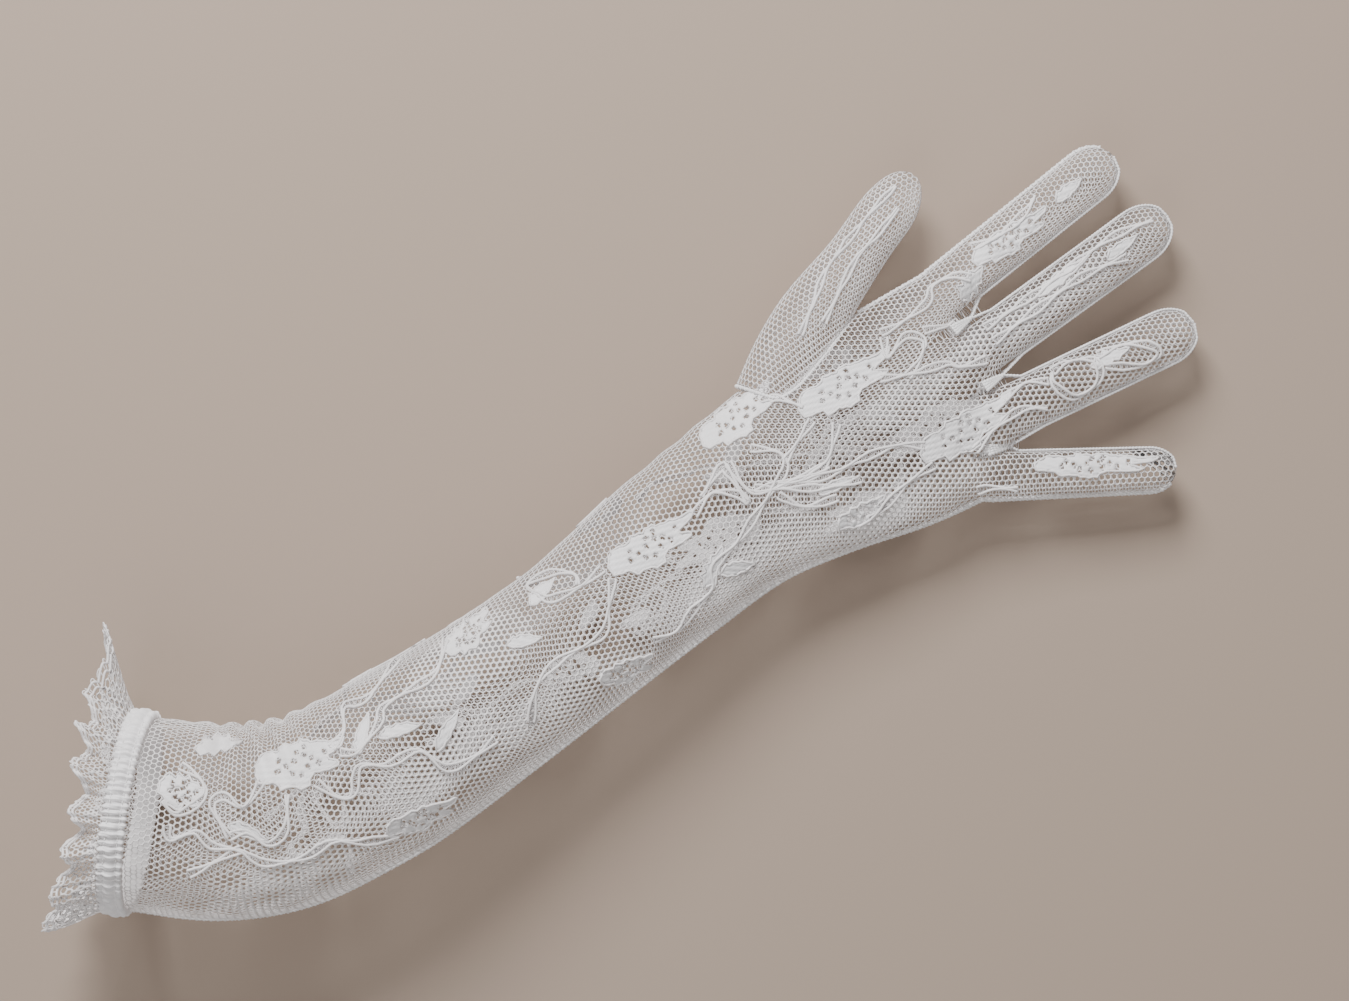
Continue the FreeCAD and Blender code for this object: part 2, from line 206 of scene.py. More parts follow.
body_rows = spline(BODY)
BODY_START = HAND_X - np.interp(HAND_X, body_rows[:, 1], body_rows[:, 0])
sleeve = Tube(BODY, BODY_START)
thumb = Tube(THUMB)
SLEEVE_START = sleeve.u[0]


def finger_tube(root_x, root_y, tip_x, tip_y, root_half, pad_half):
    """A straight tube with a rounded tip."""
    turn = math.degrees(math.atan2(tip_y - root_y, tip_x - root_x))
    length = math.dist((root_x, root_y), (tip_x, tip_y))
    tip_length = 1.25 * pad_half
    rows = []
    shares = list(np.linspace(0, 1 - tip_length / length, 8))
    shares += [1 - tip_length / length * (1 - math.sin(a)) for a in np.linspace(0.2, QUARTER, 8)]
    for share in shares:
        half = root_half + (pad_half - root_half) * share
        past = max(0.0, (share - 1) * length / tip_length + 1)
        half *= max(math.sqrt(max(1 - past ** 2, 0)), 0.1)
        rows.append((root_x + (tip_x - root_x) * share, root_y + (tip_y - root_y) * share,
                     turn, half, half * FINGER_DEPTH))
    return Tube(rows)


class Finger:
    """One finger's tube and its place in the flat pattern of a panel."""

    def __init__(self, name):
        values = FINGERS[name]
        self.tube = finger_tube(*values)
        self.root = np.array(values[:2])
        self.turn = math.atan2(values[3] - values[1], values[2] - values[0])
        self.length = self.tube.u[-1]
        centre, _, _, half, high = sleeve.section(np.array(values[0]))
        offset = values[1] - centre[1]
        angles = np.linspace(0, math.asin(min(abs(offset) / half, 1)), 60)
        speed = np.hypot(half * np.cos(angles), high * np.sin(angles))
        steps = (speed[1:] + speed[:-1]) / 2 * np.diff(angles)
        self.w = math.copysign(steps.sum(), offset)

    def local(self, u, w):
        """Length along the finger and arc length from its crest at flat places."""
        du, dw = u - self.root[0], w - self.w
        c, s = math.cos(self.turn), math.sin(self.turn)
        return du * c + dw * s, dw * c - du * s

    def strip(self, along, height):
        """Arc length from the crest down to the given height above the middle."""
        _, _, _, half, high = self.tube.section(along)
        angle = np.arccos(np.clip(height / high, 0, 1))
        share = angle / QUARTER
        return self.tube.quarter(along) * share


fingers = {name: Finger(name) for name in FINGERS}
ORDER = ["index", "middle", "ring", "little"]
# Where each web is: plan place, between a finger and the next.
WEBS = {("index", "middle"): (99.0, 4.2), ("middle", "ring"): (97.0, -20.5),
        ("ring", "little"): (84.0, -44.5)}
WEB_LINE = [(-60, 82.0), (-30, 84.0), (-24, 88.0), (-12, 97.0), (8, 98.0), (60, 99.0)]


def smooth(value, low, high):
    """0 below low, 1 above high and an even curve between."""
    share = np.clip((value - low) / (high - low), 0, 1)
    return share * share * (3 - 2 * share)


def wrinkles(u, w, face):
    """How far the cloth stands off its even shape: gathers at the band, folds inside the
    elbow and a slight unevenness everywhere."""
    from_band = u - SLEEVE_START
    gathers = 0.7 * np.exp(-from_band / 9.0) * np.sin(w / 1.55 + 0.8 * np.sin(w / 9.0))
    inner = smooth(w, -8, 30) * np.exp(-((from_band - 46) / 26.0) ** 2)
    wave = np.sin((from_band + 0.22 * w) / 2.05 + 1.1 * np.sin(w / 13.0 + from_band / 17.0))
    folds = 1.5 * inner * wave
    uneven = 0.25 * np.sin(u / 7.3 + w / 11.0) * np.sin(w / 6.1 - u / 15.0)
    wrist = 0.35 * np.exp(-((u + 22) / 16.0) ** 2) * np.sin(u / 2.6 + 0.5 * np.sin(w / 8.0))
    return gathers + folds + uneven + wrist


def panel_point(u, w, face, lift=0.0, only=None):
    """Places of flat points of the back (face 1) or palm (face -1) on the worn glove. The
    nearest finger is taken, unless one is named."""
    u, w = np.broadcast_arrays(np.asarray(u, float), np.asarray(w, float))
    limit = sleeve.quarter(u)
    base, base_normal = sleeve.point(u, np.clip(w, -limit, limit), face)
    place, normal = base, base_normal
    nearest = np.full(u.shape, 1e9)
    for name, finger in fingers.items():
        if only not in (None, name):
            continue
        along, side = finger.local(u, w)
        span = finger.tube.quarter(np.clip(along, 0, finger.length))
        rank = np.abs(side) / np.maximum(span, 6.0) + np.clip(-along / 12.0, 0, 9)
        chosen = (rank < nearest) & (along > 0)
        nearest = np.where(chosen, rank, nearest)
        own, own_normal = finger.tube.point(np.clip(along, 0, finger.length),
                                            np.clip(side, -span, span), face)
        share = (smooth(along, 1, 24) * chosen)[..., None]
        place = np.where(chosen[..., None], base * (1 - share) + own * share, place)
        normal = np.where(chosen[..., None], base_normal * (1 - share) + own_normal * share,
                          normal)
    normal = normal / np.linalg.norm(normal, axis=-1, keepdims=True)
    stand = np.asarray(lift + wrinkles(u, w, face))
    return place + normal * stand[..., None] + SHIFT


def thumb_point(u, w, face, lift=0.0):
    """The same for one half of the thumb."""
    u, w = np.broadcast_arrays(np.asarray(u, float), np.asarray(w, float))
    limit = thumb.quarter(u)
    place, normal = thumb.point(np.clip(u, 0, thumb.u[-1]), np.clip(w, -limit, limit), face)
    stand = np.asarray(lift + 0.2 * np.sin(u / 5.0 + w / 4.0))
    return place + normal * stand[..., None] + SHIFT


# ------------------------------------------------------------------ writing meshes
ROOT = "root"


def write_mesh(name, points, faces, material, smooth_faces=True):
    """A piece from points in millimetres and a list of faces."""
    mesh = bpy.data.meshes.new(name)
    mesh.from_pydata((np.asarray(points) * MM).tolist(), [], faces)
    mesh.validate()
    shell = bmesh.new()
    shell.from_mesh(mesh)
    bmesh.ops.recalc_face_normals(shell, faces=shell.faces)
    shell.to_mesh(mesh)
    shell.free()
    mesh.materials.append(material)
    piece = bpy.data.objects.new(name, mesh)
    bpy.context.scene.collection.objects.link(piece)
    if smooth_faces:
        mesh.polygons.foreach_set("use_smooth", [True] * len(mesh.polygons))
    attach(piece, ROOT)
    return piece


class Build:
    """Gathers points and faces of one piece."""

    def __init__(self):
        self.points, self.faces = [], []

    def add(self, points, faces):
        """Add a part whose faces count from its own first point."""
        base = sum(len(block) for block in self.points)
        self.points.append(np.asarray(points, float))
        self.faces.extend([tuple(int(k) + base for k in face) for face in faces])

    def cord(self, line, radius, sides=6, closed=False):
        """Add a round thread along a line."""
        self.add(*cord_mesh(line, radius, sides, closed))

    def piece(self, name, material, slot, smooth_faces=True):
        """The finished piece."""
        return write_mesh(name, np.concatenate(self.points), self.faces, material,
                          smooth_faces)


def frames_along(line):
    """Tangent, and two vectors across it, at each point of a line."""
    tangent = np.gradient(line, axis=0)
    tangent /= np.linalg.norm(tangent, axis=1, keepdims=True) + 1e-9
    side = np.zeros_like(tangent)
    guide = np.array([0.0, 0.0, 1.0])
    if abs(tangent[0] @ guide) > 0.9:
        guide = np.array([1.0, 0.0, 0.0])
    for k, ahead in enumerate(tangent):
        guide = guide - ahead * (guide @ ahead)
        guide /= np.linalg.norm(guide) + 1e-9
        side[k] = guide
    return tangent, side, np.cross(tangent, side)


def cord_mesh(line, radius, sides=6, closed=False):
    """Points and faces of a round thread along a line; radius may vary along it."""
    line = np.asarray(line, float)
    radius = np.broadcast_to(np.asarray(radius, float), (len(line),))
    _, side, up = frames_along(line)
    turns = np.arange(sides) * 2 * math.pi / sides
    rings = (line[:, None] + radius[:, None, None]
             * (side[:, None] * np.cos(turns)[None, :, None]
                + up[:, None] * np.sin(turns)[None, :, None]))
    faces = []
    count = len(line)
    for k in range(count if closed else count - 1):
        here, there = k * sides, (k + 1) % count * sides
        for j in range(sides):
            step = (j + 1) % sides
            faces.append((here + j, here + step, there + step, there + j))
    if not closed:
        faces.append(tuple(range(sides - 1, -1, -1)))
        faces.append(tuple((count - 1) * sides + j for j in range(sides)))
    return rings.reshape(-1, 3), faces


def curve_through(points, step):
    """A smooth line through points of any dimension, with a point about every step."""
    points = np.asarray(points, float)
    out = []
    for k in range(len(points) - 1):
        before, after = points[max(k - 1, 0)], points[min(k + 2, len(points) - 1)]
        start, end = points[k], points[k + 1]
        number = max(int(np.linalg.norm(end - start) / step), 1)
        for part in np.arange(number) / number:
            out.append(between(start, end, (end - before) / 2, (after - start) / 2, part))
    out.append(points[-1])
    return np.array(out)


def run_along(line):
    """The length along a line up to each of its points."""
    steps = np.linalg.norm(np.diff(line, axis=0), axis=1)
    return np.concatenate([[0], np.cumsum(steps)])


def left_of(line):
    """Unit vectors to the left of a plan line."""
    ahead = np.gradient(line, axis=0)
    ahead /= np.linalg.norm(ahead, axis=1, keepdims=True) + 1e-9
    return np.stack([-ahead[:, 1], ahead[:, 0]], 1)


# ------------------------------------------------------------------ knotted net
HEX = [(math.cos(math.radians(60 * k + 30)), math.sin(math.radians(60 * k + 30)))
       for k in range(6)]


def net(build, region, surface, pitch, hole, thick, clamp=None):
    """Knot a net over a flat region. region(u, w) says which cells belong; surface carries
    flat points to the glove; hole(u, w) is each cell's open share, 0 where it is filled.
    Returns the flat area that the threads cover."""
    (u_low, u_high, w_low, w_high), keep = region
    size = pitch / math.sqrt(3)
    columns = np.arange(math.floor(w_low / pitch) - 1, math.ceil(w_high / pitch) + 2)
    rows = np.arange(math.floor(u_low / (1.5 * size)) - 1, math.ceil(u_high / (1.5 * size)) + 2)
    grid_row, grid_column = np.meshgrid(rows, columns, indexing="ij")
    centre_u = (grid_row * 1.5 * size).ravel()
    centre_w = ((grid_column + 0.5 * (grid_row % 2)) * pitch).ravel()
    kept = keep(centre_u, centre_w)
    centre_u, centre_w = centre_u[kept], centre_w[kept]
    corner_u = centre_u[:, None] + size * np.array([y for _, y in HEX])
    corner_w = centre_w[:, None] + size * np.array([x for x, _ in HEX])
    keys = np.round(np.stack([corner_u, corner_w], -1) / (size * 0.25)).astype(int)
    flat_keys, inverse = np.unique(keys.reshape(-1, 2), axis=0, return_inverse=True)
    inverse = inverse.reshape(-1, 6)
    shared = np.zeros((len(flat_keys), 2))
    shared[inverse.ravel(), 0] = corner_u.ravel()
    shared[inverse.ravel(), 1] = corner_w.ravel()
    if clamp is not None:
        shared = clamp(shared)
    corner_flat = shared[inverse]
    middle = corner_flat.mean(1)
    open_share = hole(middle[:, 0], middle[:, 1])
    count, cells = len(shared), len(middle)
    top = surface(shared[:, 0], shared[:, 1], thick / 2)
    bottom = surface(shared[:, 0], shared[:, 1], -thick / 2)
    rim_flat = middle[:, None] + (corner_flat - middle[:, None]) * open_share[:, None, None]
    is_open = open_share > 0
    rim = surface(rim_flat[..., 0], rim_flat[..., 1], 0.0)
    points = [top, bottom, rim[is_open].reshape(-1, 3)]
    filled = ~is_open
    lift = thick * 0.7
    points.append(surface(middle[filled, 0], middle[filled, 1], lift))
    points.append(surface(middle[filled, 0], middle[filled, 1], -lift))
    rim_base = 2 * count
    fill_base = rim_base + 6 * int(is_open.sum())
    fill_count = int(filled.sum())
    faces = []
    for number, cell in enumerate(inverse[is_open]):
        base = rim_base + 6 * number
        for k in range(6):
            j = (k + 1) % 6
            a, b = int(cell[k]), int(cell[j])
            faces.append((a, b, base + j, base + k))
            faces.append((b + count, a + count, base + k, base + j))
    for number, cell in enumerate(inverse[filled]):
        for k in range(6):
            j = (k + 1) % 6
            a, b = int(cell[k]), int(cell[j])
            faces.append((a, b, fill_base + number))
            faces.append((b + count, a + count, fill_base + fill_count + number))
    following = np.roll(inverse, -1, axis=1)
    edges = np.stack([inverse.ravel(), following.ravel()], 1)
    ordered = np.sort(edges, axis=1)
    _, first, times = np.unique(ordered, axis=0, return_index=True, return_counts=True)
    for a, b in edges[first[times == 1]]:
        if a != b:
            faces.append((int(b), int(a), int(a) + count, int(b) + count))
    build.add(np.concatenate(points), faces)
    spans = corner_flat - middle[:, None]
    ahead = np.roll(spans, -1, axis=1)
    areas = np.abs(spans[..., 0] * ahead[..., 1] - spans[..., 1] * ahead[..., 0]).sum(1) / 2
    return float((areas * (1 - open_share ** 2)).sum()) * MM * MM


# ------------------------------------------------------------------ the flat pattern
PITCH = 2.35                                # from one hole of the net to the next
THREAD = 0.42                               # thickness of the net
OPEN = 0.775                                # share of a cell's width that stays open
COARSE_OPEN = 0.60                          # the same in the patches of heavier net
STRIP_OPEN = 0.66                           # the same in the strips between fingers
PALM_SHIFT = 23.0                           # the palm's pattern lies this far along
LATTICE_SPLIT = -20.0                       # sleeve and hand are knotted as two pieces
STRIP_START = 17.0                          # fingers part from the hand this far up them
HAND_LIMITS = (-30.0, 200.0, -125.0, 75.0)
SLEEVE_LIMITS = (SLEEVE_START - 4, -10.0, -62.0, 62.0)

# Patches of heavier net: plan x and y, and half length and width.
COARSE = [(-128, 2, 26, 12), (-150, -26, 34, 10), (-20, -26, 30, 8), (45, -38, 34, 9),
          (120, -6, 44, 6), (-95, -32, 20, 9), (60, -8, 18, 8), (-226, -32, 26, 12)]


def strip_limits(name, along):
    """The least and greatest arc length from a finger's crest in its flat strip."""
    along = np.clip(along, 0, fingers[name].length)
    part = fingers[name].strip(along, STRIP_HALF)
    full = fingers[name].tube.quarter(along)
    low = full if name == "little" else part
    high = full if name == "index" else part
    return -low, high


def in_strip(name, u, w, spare):
    """Which flat places belong to a finger's strip."""
    finger = fingers[name]
    along, side = finger.local(u, w)
    low, high = strip_limits(name, along)
    return ((along > STRIP_START) & (along < finger.length - 0.3)
            & (side > low - spare) & (side < high + spare))


def web_line(w):
    """The flat length at which the hand ends between the fingers."""
    return np.interp(w, [w for w, _ in WEB_LINE], [u for _, u in WEB_LINE])


def clamp_panel(shared, only=None):
    """Pull knots that pass a panel's edge back on to it."""
    u, w = shared[:, 0].copy(), shared[:, 1].copy()
    limit = sleeve.quarter(u)
    new_w = np.clip(w, -limit, limit)
    new_u = np.maximum(u, SLEEVE_START)
    for name, finger in fingers.items():
        if only not in (None, name):
            continue
        along, side = finger.local(u, w)
        low, high = strip_limits(name, along)
        near = (along > STRIP_START) & (side > low - 2.6) & (side < high + 2.6)
        along = np.clip(along, 0, finger.length)
        side = np.clip(side, low, high)
        c, s = math.cos(finger.turn), math.sin(finger.turn)
        new_u = np.where(near, finger.root[0] + along * c - side * s, new_u)
        new_w = np.where(near, finger.w + along * s + side * c, new_w)
    return np.stack([new_u, new_w], 1)


def near_patch(plan, patches):
    """Which plan places lie in one of the oval patches."""
    found = np.zeros(len(plan), bool)
    for x, y, long, wide in patches:
        found |= ((plan[:, 0] - x) / long) ** 2 + ((plan[:, 1] - y) / wide) ** 2 < 1
    return found


# The lace is knotted in parts, like the solids: sleeve, hand and fingers.
BEYOND_WEB = 2.5                            # the fingers' parts begin this far past the webs
WEB_TURN = math.radians(-12.0)
WEB_AHEAD = np.array([math.cos(WEB_TURN), math.sin(WEB_TURN)])
WEB_POINT = np.round(np.array([94.0, -15.0]) + WEB_AHEAD * BEYOND_WEB, 2)
finger_cut = {}
for name, finger in fingers.items():
    ahead = np.array([math.cos(finger.turn), math.sin(finger.turn)])
    finger_cut[name] = ((WEB_POINT - finger.root) @ WEB_AHEAD) / (ahead @ WEB_AHEAD)


def panel_region(face, number, limits):
    """The cells of one part of a panel: sleeve, hand, or a finger."""
    def keep(u, w):
        beyond = u > SLEEVE_START
        if number >= 2:
            name = ORDER[number - 2]
            along, _ = fingers[name].local(u, w)
            return in_strip(name, u, w, 0.25 * PITCH) & (along > finger_cut[name])
        inside = (np.abs(w) < sleeve.quarter(u) + 0.2 * PITCH) & (u < web_line(w))
        for name in ORDER:
            along, _ = fingers[name].local(u, w)
            strip = in_strip(name, u, w, 0.25 * PITCH)
            inside = (inside & ~(strip & (along > finger_cut[name]))) | (
                strip & (along <= finger_cut[name]))
        inside &= (u < LATTICE_SPLIT) == (number == 0)
        place = panel_point(u, w, face) - SHIFT
        return inside & beyond & (thumb.depth(place) > 0.96)
    return limits, keep


def uneven_open(u, w):
    """How much the open share varies from cell to cell."""
    return 0.03 * np.sin(u * 1.7 + w * 2.3)


def panel_open(face):
    """How open each cell of a panel is."""
    def share(u, w):
        plan = (panel_point(u, w, face) - SHIFT)[:, :2]
        if face < 0:
            plan = plan + np.array([PALM_SHIFT, 0.0])
        heavy = near_patch(plan, COARSE)
        value = np.where(heavy, COARSE_OPEN, OPEN)
        return value + uneven_open(u, w)
    return share


def panel_surface(face, only=None):
    """Carries flat places of one face to the glove."""
    def carry(u, w, lift):
        return panel_point(u, w, face, lift, only)
    return carry


# ------------------------------------------------------------------ thread and cloth
def node_material(name, base, rough, sheen, fibre, blotch):
    """White nylon thread: fine twisted fibres, a soft sheen and slightly uneven colour."""
    material = bpy.data.materials.new(name)
    material.use_nodes = True
    tree = material.node_tree
    shader = tree.nodes["Principled BSDF"]
    links = tree.links

    def node(kind, **values):
        made = tree.nodes.new(kind)
        for label, value in values.items():
            made.inputs[label].default_value = value
        return made

    for label, value in (("Roughness", rough), ("Sheen Weight", sheen),
                         ("Sheen Roughness", 0.35), ("Specular IOR Level", 0.45)):
        shader.inputs[label].default_value = value
    place = node("ShaderNodeTexCoord")
    patches = node("ShaderNodeTexNoise", Scale=blotch, Detail=4.0)
    ramp = node("ShaderNodeValToRGB")
    for stop, position, shade in zip(ramp.color_ramp.elements, (0.3, 0.7), (0.86, 1.0)):
        stop.position = position
        stop.color = (*[c * shade for c in base], 1)
    fibres = node("ShaderNodeTexNoise", Scale=fibre, Detail=3.0)
    bump = node("ShaderNodeBump", Strength=0.5, Distance=0.00015)
    links.new(place.outputs["Object"], patches.inputs["Vector"])
    links.new(place.outputs["Object"], fibres.inputs["Vector"])
    links.new(patches.outputs["Fac"], ramp.inputs["Fac"])
    links.new(ramp.outputs["Color"], shader.inputs["Base Color"])
    links.new(fibres.outputs["Fac"], bump.inputs["Height"])
    links.new(bump.outputs["Normal"], shader.inputs["Normal"])
    return material


NET_THREAD = node_material("net_thread", (0.86, 0.83, 0.83), 0.55, 0.25, 2600, 60)
CORD_THREAD = node_material("cord_thread", (0.90, 0.87, 0.875), 0.5, 0.3, 2200, 45)
MOTIF_THREAD = node_material("motif_thread", (0.90, 0.88, 0.89), 0.55, 0.3, 1800, 80)
SEAM_THREAD = node_material("seam_thread", (0.93, 0.915, 0.92), 0.55, 0.3, 2400, 50)
BAND_CLOTH = node_material("band_cloth", (0.91, 0.89, 0.90), 0.6, 0.35, 1500, 70)
ELASTIC_CORE = node_material("elastic_core", (0.85, 0.83, 0.80), 0.7, 0.1, 1200, 60)

# ------------------------------------------------------------------ the two panels
FACES = {"back": 1, "palm": -1}
PARTS = ["sleeve", "hand"] + ORDER
panel_pieces = {}
for side_name, face in FACES.items():
    for number, part_name in enumerate(PARTS):
        build = Build()
        name = f"{side_name}_{part_name}_net"
        only = part_name if number >= 2 else None
        limits = SLEEVE_LIMITS if number == 0 else HAND_LIMITS
        net(build, panel_region(face, number, limits),
                            panel_surface(face, only), PITCH, panel_open(face), THREAD,
                            lambda shared, only=only: clamp_panel(shared, only))
        panel_pieces[name] = build.piece(name, NET_THREAD, "lace")

# ------------------------------------------------------------------ the thumb's halves
thumb_pieces = {}
for side_name, face in FACES.items():
    def thumb_keep(u, w, face=face):
        place = thumb_point(u, w, face) - SHIFT
        inside = (np.abs(w) < thumb.quarter(u) + 0.2 * PITCH) & (u > 0) & (u < thumb.u[-1] - 0.3)
        return inside & (sleeve.depth(place) > 0.985)

    def thumb_clamp(shared):
        limit = thumb.quarter(shared[:, 0])
        return np.stack([np.clip(shared[:, 0], 0, thumb.u[-1]),
                         np.clip(shared[:, 1], -limit, limit)], 1)

    build = Build()
    name = f"thumb_{side_name}_net"
    net(build, ((0, thumb.u[-1] + 2, -30, 30), thumb_keep),
                        lambda u, w, lift, face=face: thumb_point(u, w, face, lift),
                        PITCH, lambda u, w: OPEN + uneven_open(u, w), THREAD, thumb_clamp)
    thumb_pieces[name] = build.piece(name, NET_THREAD, "lace")

# ------------------------------------------------------------------ finding flat places
grid_u, grid_w = np.meshgrid(np.arange(SLEEVE_START, 196, 1.0), np.arange(-120, 72, 1.0),
                             indexing="ij")
grid_u, grid_w = grid_u.ravel(), grid_w.ravel()
belongs = (np.abs(grid_w) < sleeve.quarter(grid_u)) & (grid_u < web_line(grid_w))
for name in ORDER:
    belongs |= in_strip(name, grid_u, grid_w, 0.0)
grid_u, grid_w = grid_u[belongs], grid_w[belongs]
grid_plan = (panel_point(grid_u, grid_w, 1) - SHIFT)[:, :2]


lookup = KDTree(len(grid_plan))
for number, spot in enumerate(grid_plan):
    lookup.insert((spot[0], spot[1], 0.0), number)
lookup.balance()


def flat_of(plan):
    """Flat places of plan places of the back, to about a third of a millimetre."""
    result = []
    for spot in np.asarray(plan, float).reshape(-1, 2):
        found = lookup.find_n((spot[0], spot[1], 0.0), 4)
        weight = np.array([1 / (distance ** 2 + 0.05) for _, _, distance in found])
        near = [number for _, number, _ in found]
        flat = np.array([grid_u[near], grid_w[near]])
        result.append((flat * weight).sum(1) / weight.sum())
    return np.array(result)


# ------------------------------------------------------------------ cords of the pattern
CORD = 0.55                                 # radius of an outline cord
STEM_WAVE = 3.3                             # how quickly a stem's two cords part and close
# Plan lines of the cords that wander over the back, elbow first: measured, not worked out.
VINES = [
    [(-214, 6), (-224, 2), (-228, 9), (-233, 9), (-234, 0), (-234, -4)],
    [(-236, 27), (-232, 19), (-234, 13), (-245, 13), (-247, 20)],
    [(-250, 12), (-252, 7), (-243, 4), (-241, -3), (-234, -10), (-229, -19), (-217, -25),
     (-205, -26), (-197, -32), (-185, -38)],
    [(-234, -4), (-228, -6), (-224, -14), (-216, -13), (-209, -3)],
    [(-198, -5), (-194, -14), (-189, -16), (-182, -9), (-173, -14), (-161, -16), (-156, -27),
     (-145, -29), (-136, -28)],
    [(-187, 2), (-180, 5), (-176, 12), (-167, 10), (-151, 16)],
    [(-185, -1), (-179, -4), (-168, 0), (-164, 4), (-154, 4), (-141, 4), (-132, 12)],
    [(-254, -7), (-249, -8), (-240, -9), (-233, -10)],
    [(-69, 2), (-79, 1), (-91, 3), (-94, 7), (-96, 12), (-86, 11), (-79, 6), (-80, 2)],
    [(-68, -3), (-75, -11), (-83, -18), (-100, -17), (-112, -20), (-122, -30)],
    [(-30, 0), (-20, 3), (-12, -3), (-11, -7), (-11, 6), (-12, 9), (-24, 4)],
    [(-9, 9), (-8, -4), (0, -7), (11, -10), (22, -12)],
    [(1, 9), (9, 2), (8, -4), (0, -8), (-12, -13), (-22, -17), (-34, -20), (-39, -26),
     (-50, -29), (-59, -32), (-68, -30)],
    [(-6, -4), (9, -14), (22, -21), (29, -23)],
    [(0, -11), (6, -20), (18, -24)],
    [(17, 20), (20, 19), (26, 11)],
    [(26, 5), (9, -2)],
    [(33, -1), (22, -11), (11, -12)],
    [(66, 18), (74, 17), (87, 18), (92, 22), (101, 21), (106, 17)],
    [(66, 16), (63, 9), (73, 12), (78, 7), (73, 2), (65, -1)],
    [(80, 10), (91, 6), (96, 3)],
    [(56, 4), (67, -1), (80, -5), (84, -9), (94, -12)],
    [(113, 26), (124, 24), (137, 26), (144, 29)],
    [(100, -2), (115, -2), (137, -1), (159, 0), (176, -3)],
    [(100, -8), (117, -7), (141, -6), (160, -9)],
    [(112, -30), (119, -30), (128, -35), (125, -42), (114, -42), (110, -34), (112, -30)],
    [(130, -34), (140, -36), (148, -41), (150, -46), (142, -46), (130, -39)],
    [(91, -28), (102, -28), (109, -32)],
    [(71, -38), (83, -35), (95, -35), (103, -40)],
    [(56, -26), (47, -20), (33, -17), (19, -15), (2, -8)],
    [(55, -34), (43, -34), (29, -37), (19, -38)],
    [(64, -51), (69, -53), (77, -59)],
]
# Lines of the palm, which no one sees at rest: the same lace, cut from further along it.
PALM_MIRROR = -14.0                         # twice the y of the line that it is mirrored in
PALM_VINES = [[(PALM_SHIFT + x, PALM_MIRROR - y) for x, y in line] for line in VINES
              if line[0][0] < 40]


def paired(line, gap):
    """The two wavy cords of a stem, side by side, now closer and now wider apart."""
    path = curve_through(line, 0.8)
    apart = gap * (0.55 + 0.45 * np.cos(run_along(path) / STEM_WAVE))
    aside = left_of(path) * apart[:, None]
    return path + aside, path - aside


def flat_path(line):
    """Flat places along a plan line, without those past the panel's edge."""
    flat = flat_of(line)
    inside = np.abs(flat[:, 1]) < sleeve.quarter(flat[:, 0]) + 45 * (flat[:, 0] > 60)
    return flat[inside]


def lay_ladder(build, left, right, face):
    """The thread that zigzags between a stem's two cords."""
    count = min(len(left), len(right))
    line = np.where((np.arange(count) % 2 == 0)[:, None], left[:count], right[:count])
    lay_cord(build, line, face, 0.27, 0.5)


def lay_cord(build, line, face, radius, lift):
    """Lay one round thread on a panel along a plan line."""
    flat = flat_path(line)
    if len(flat) < 4:
        return
    places = panel_point(flat[:, 0], flat[:, 1], face, lift)
    build.cord(places, radius)


for side_name, lines, gap, lift in (("back", VINES, 1.3, 0.7),
                                    ("palm", PALM_VINES, 0.95, 0.62)):
    cords = Build()
    face = FACES[side_name]
    for line in lines:
        left, right = paired(line, gap)
        lay_cord(cords, left, face, CORD, 0.45)
        lay_cord(cords, right, face, CORD, lift)
        lay_ladder(cords, left, right, face)
    cords.piece(f"{side_name}_stem_cords", CORD_THREAD, "lace")

# ------------------------------------------------------------------ flowers
# The flower's outline and eyelets: measured, not worked out.
FLOWER = np.array([
    (-14.9, -1.1), (-12.8, 1.1), (-8.8, 2.1), (-7.5, 5.0), (-3.3, 6.0), (-1.4, 8.2),
    (3.0, 8.4), (6.2, 9.7), (9.6, 10.0), (14.6, 12.6), (14.1, 9.5), (9.9, 4.7), (14.9, 3.9),
    (12.8, 1.1), (5.9, -2.4), (5.9, -6.3), (3.0, -8.2), (-0.9, -8.2), (-4.3, -10.3),
    (-6.4, -8.2), (-12.5, -9.5), (-14.9, -5.8),
])
FLOWER_HOLES = np.array([(1.2, 3.1), (-1.6, 0.4), (3.9, -0.1), (-1.4, -3.9), (2.2, -3.6),
                         (-4.3, -2.0), (4.3, 3.2), (-1.8, 3.6), (-6.9, -4.4), (7.4, 1.9),
                         (-7.6, -0.9), (8.6, 6.3), (0.4, 5.9)])
FLOWER_TURN = -33.5
LEAF = np.array([(-8.0, -0.6), (-5.6, 1.0), (-4.4, 2.6), (-2.6, 1.7), (-0.8, 3.0), (1.2, 1.9),
                 (3.6, 2.4), (5.0, 1.2), (8.8, 0.5), (5.2, -0.9), (3.0, -1.9), (1.4, -1.4),
                 (-0.9, -2.6), (-2.8, -1.7), (-5.2, -2.2)])
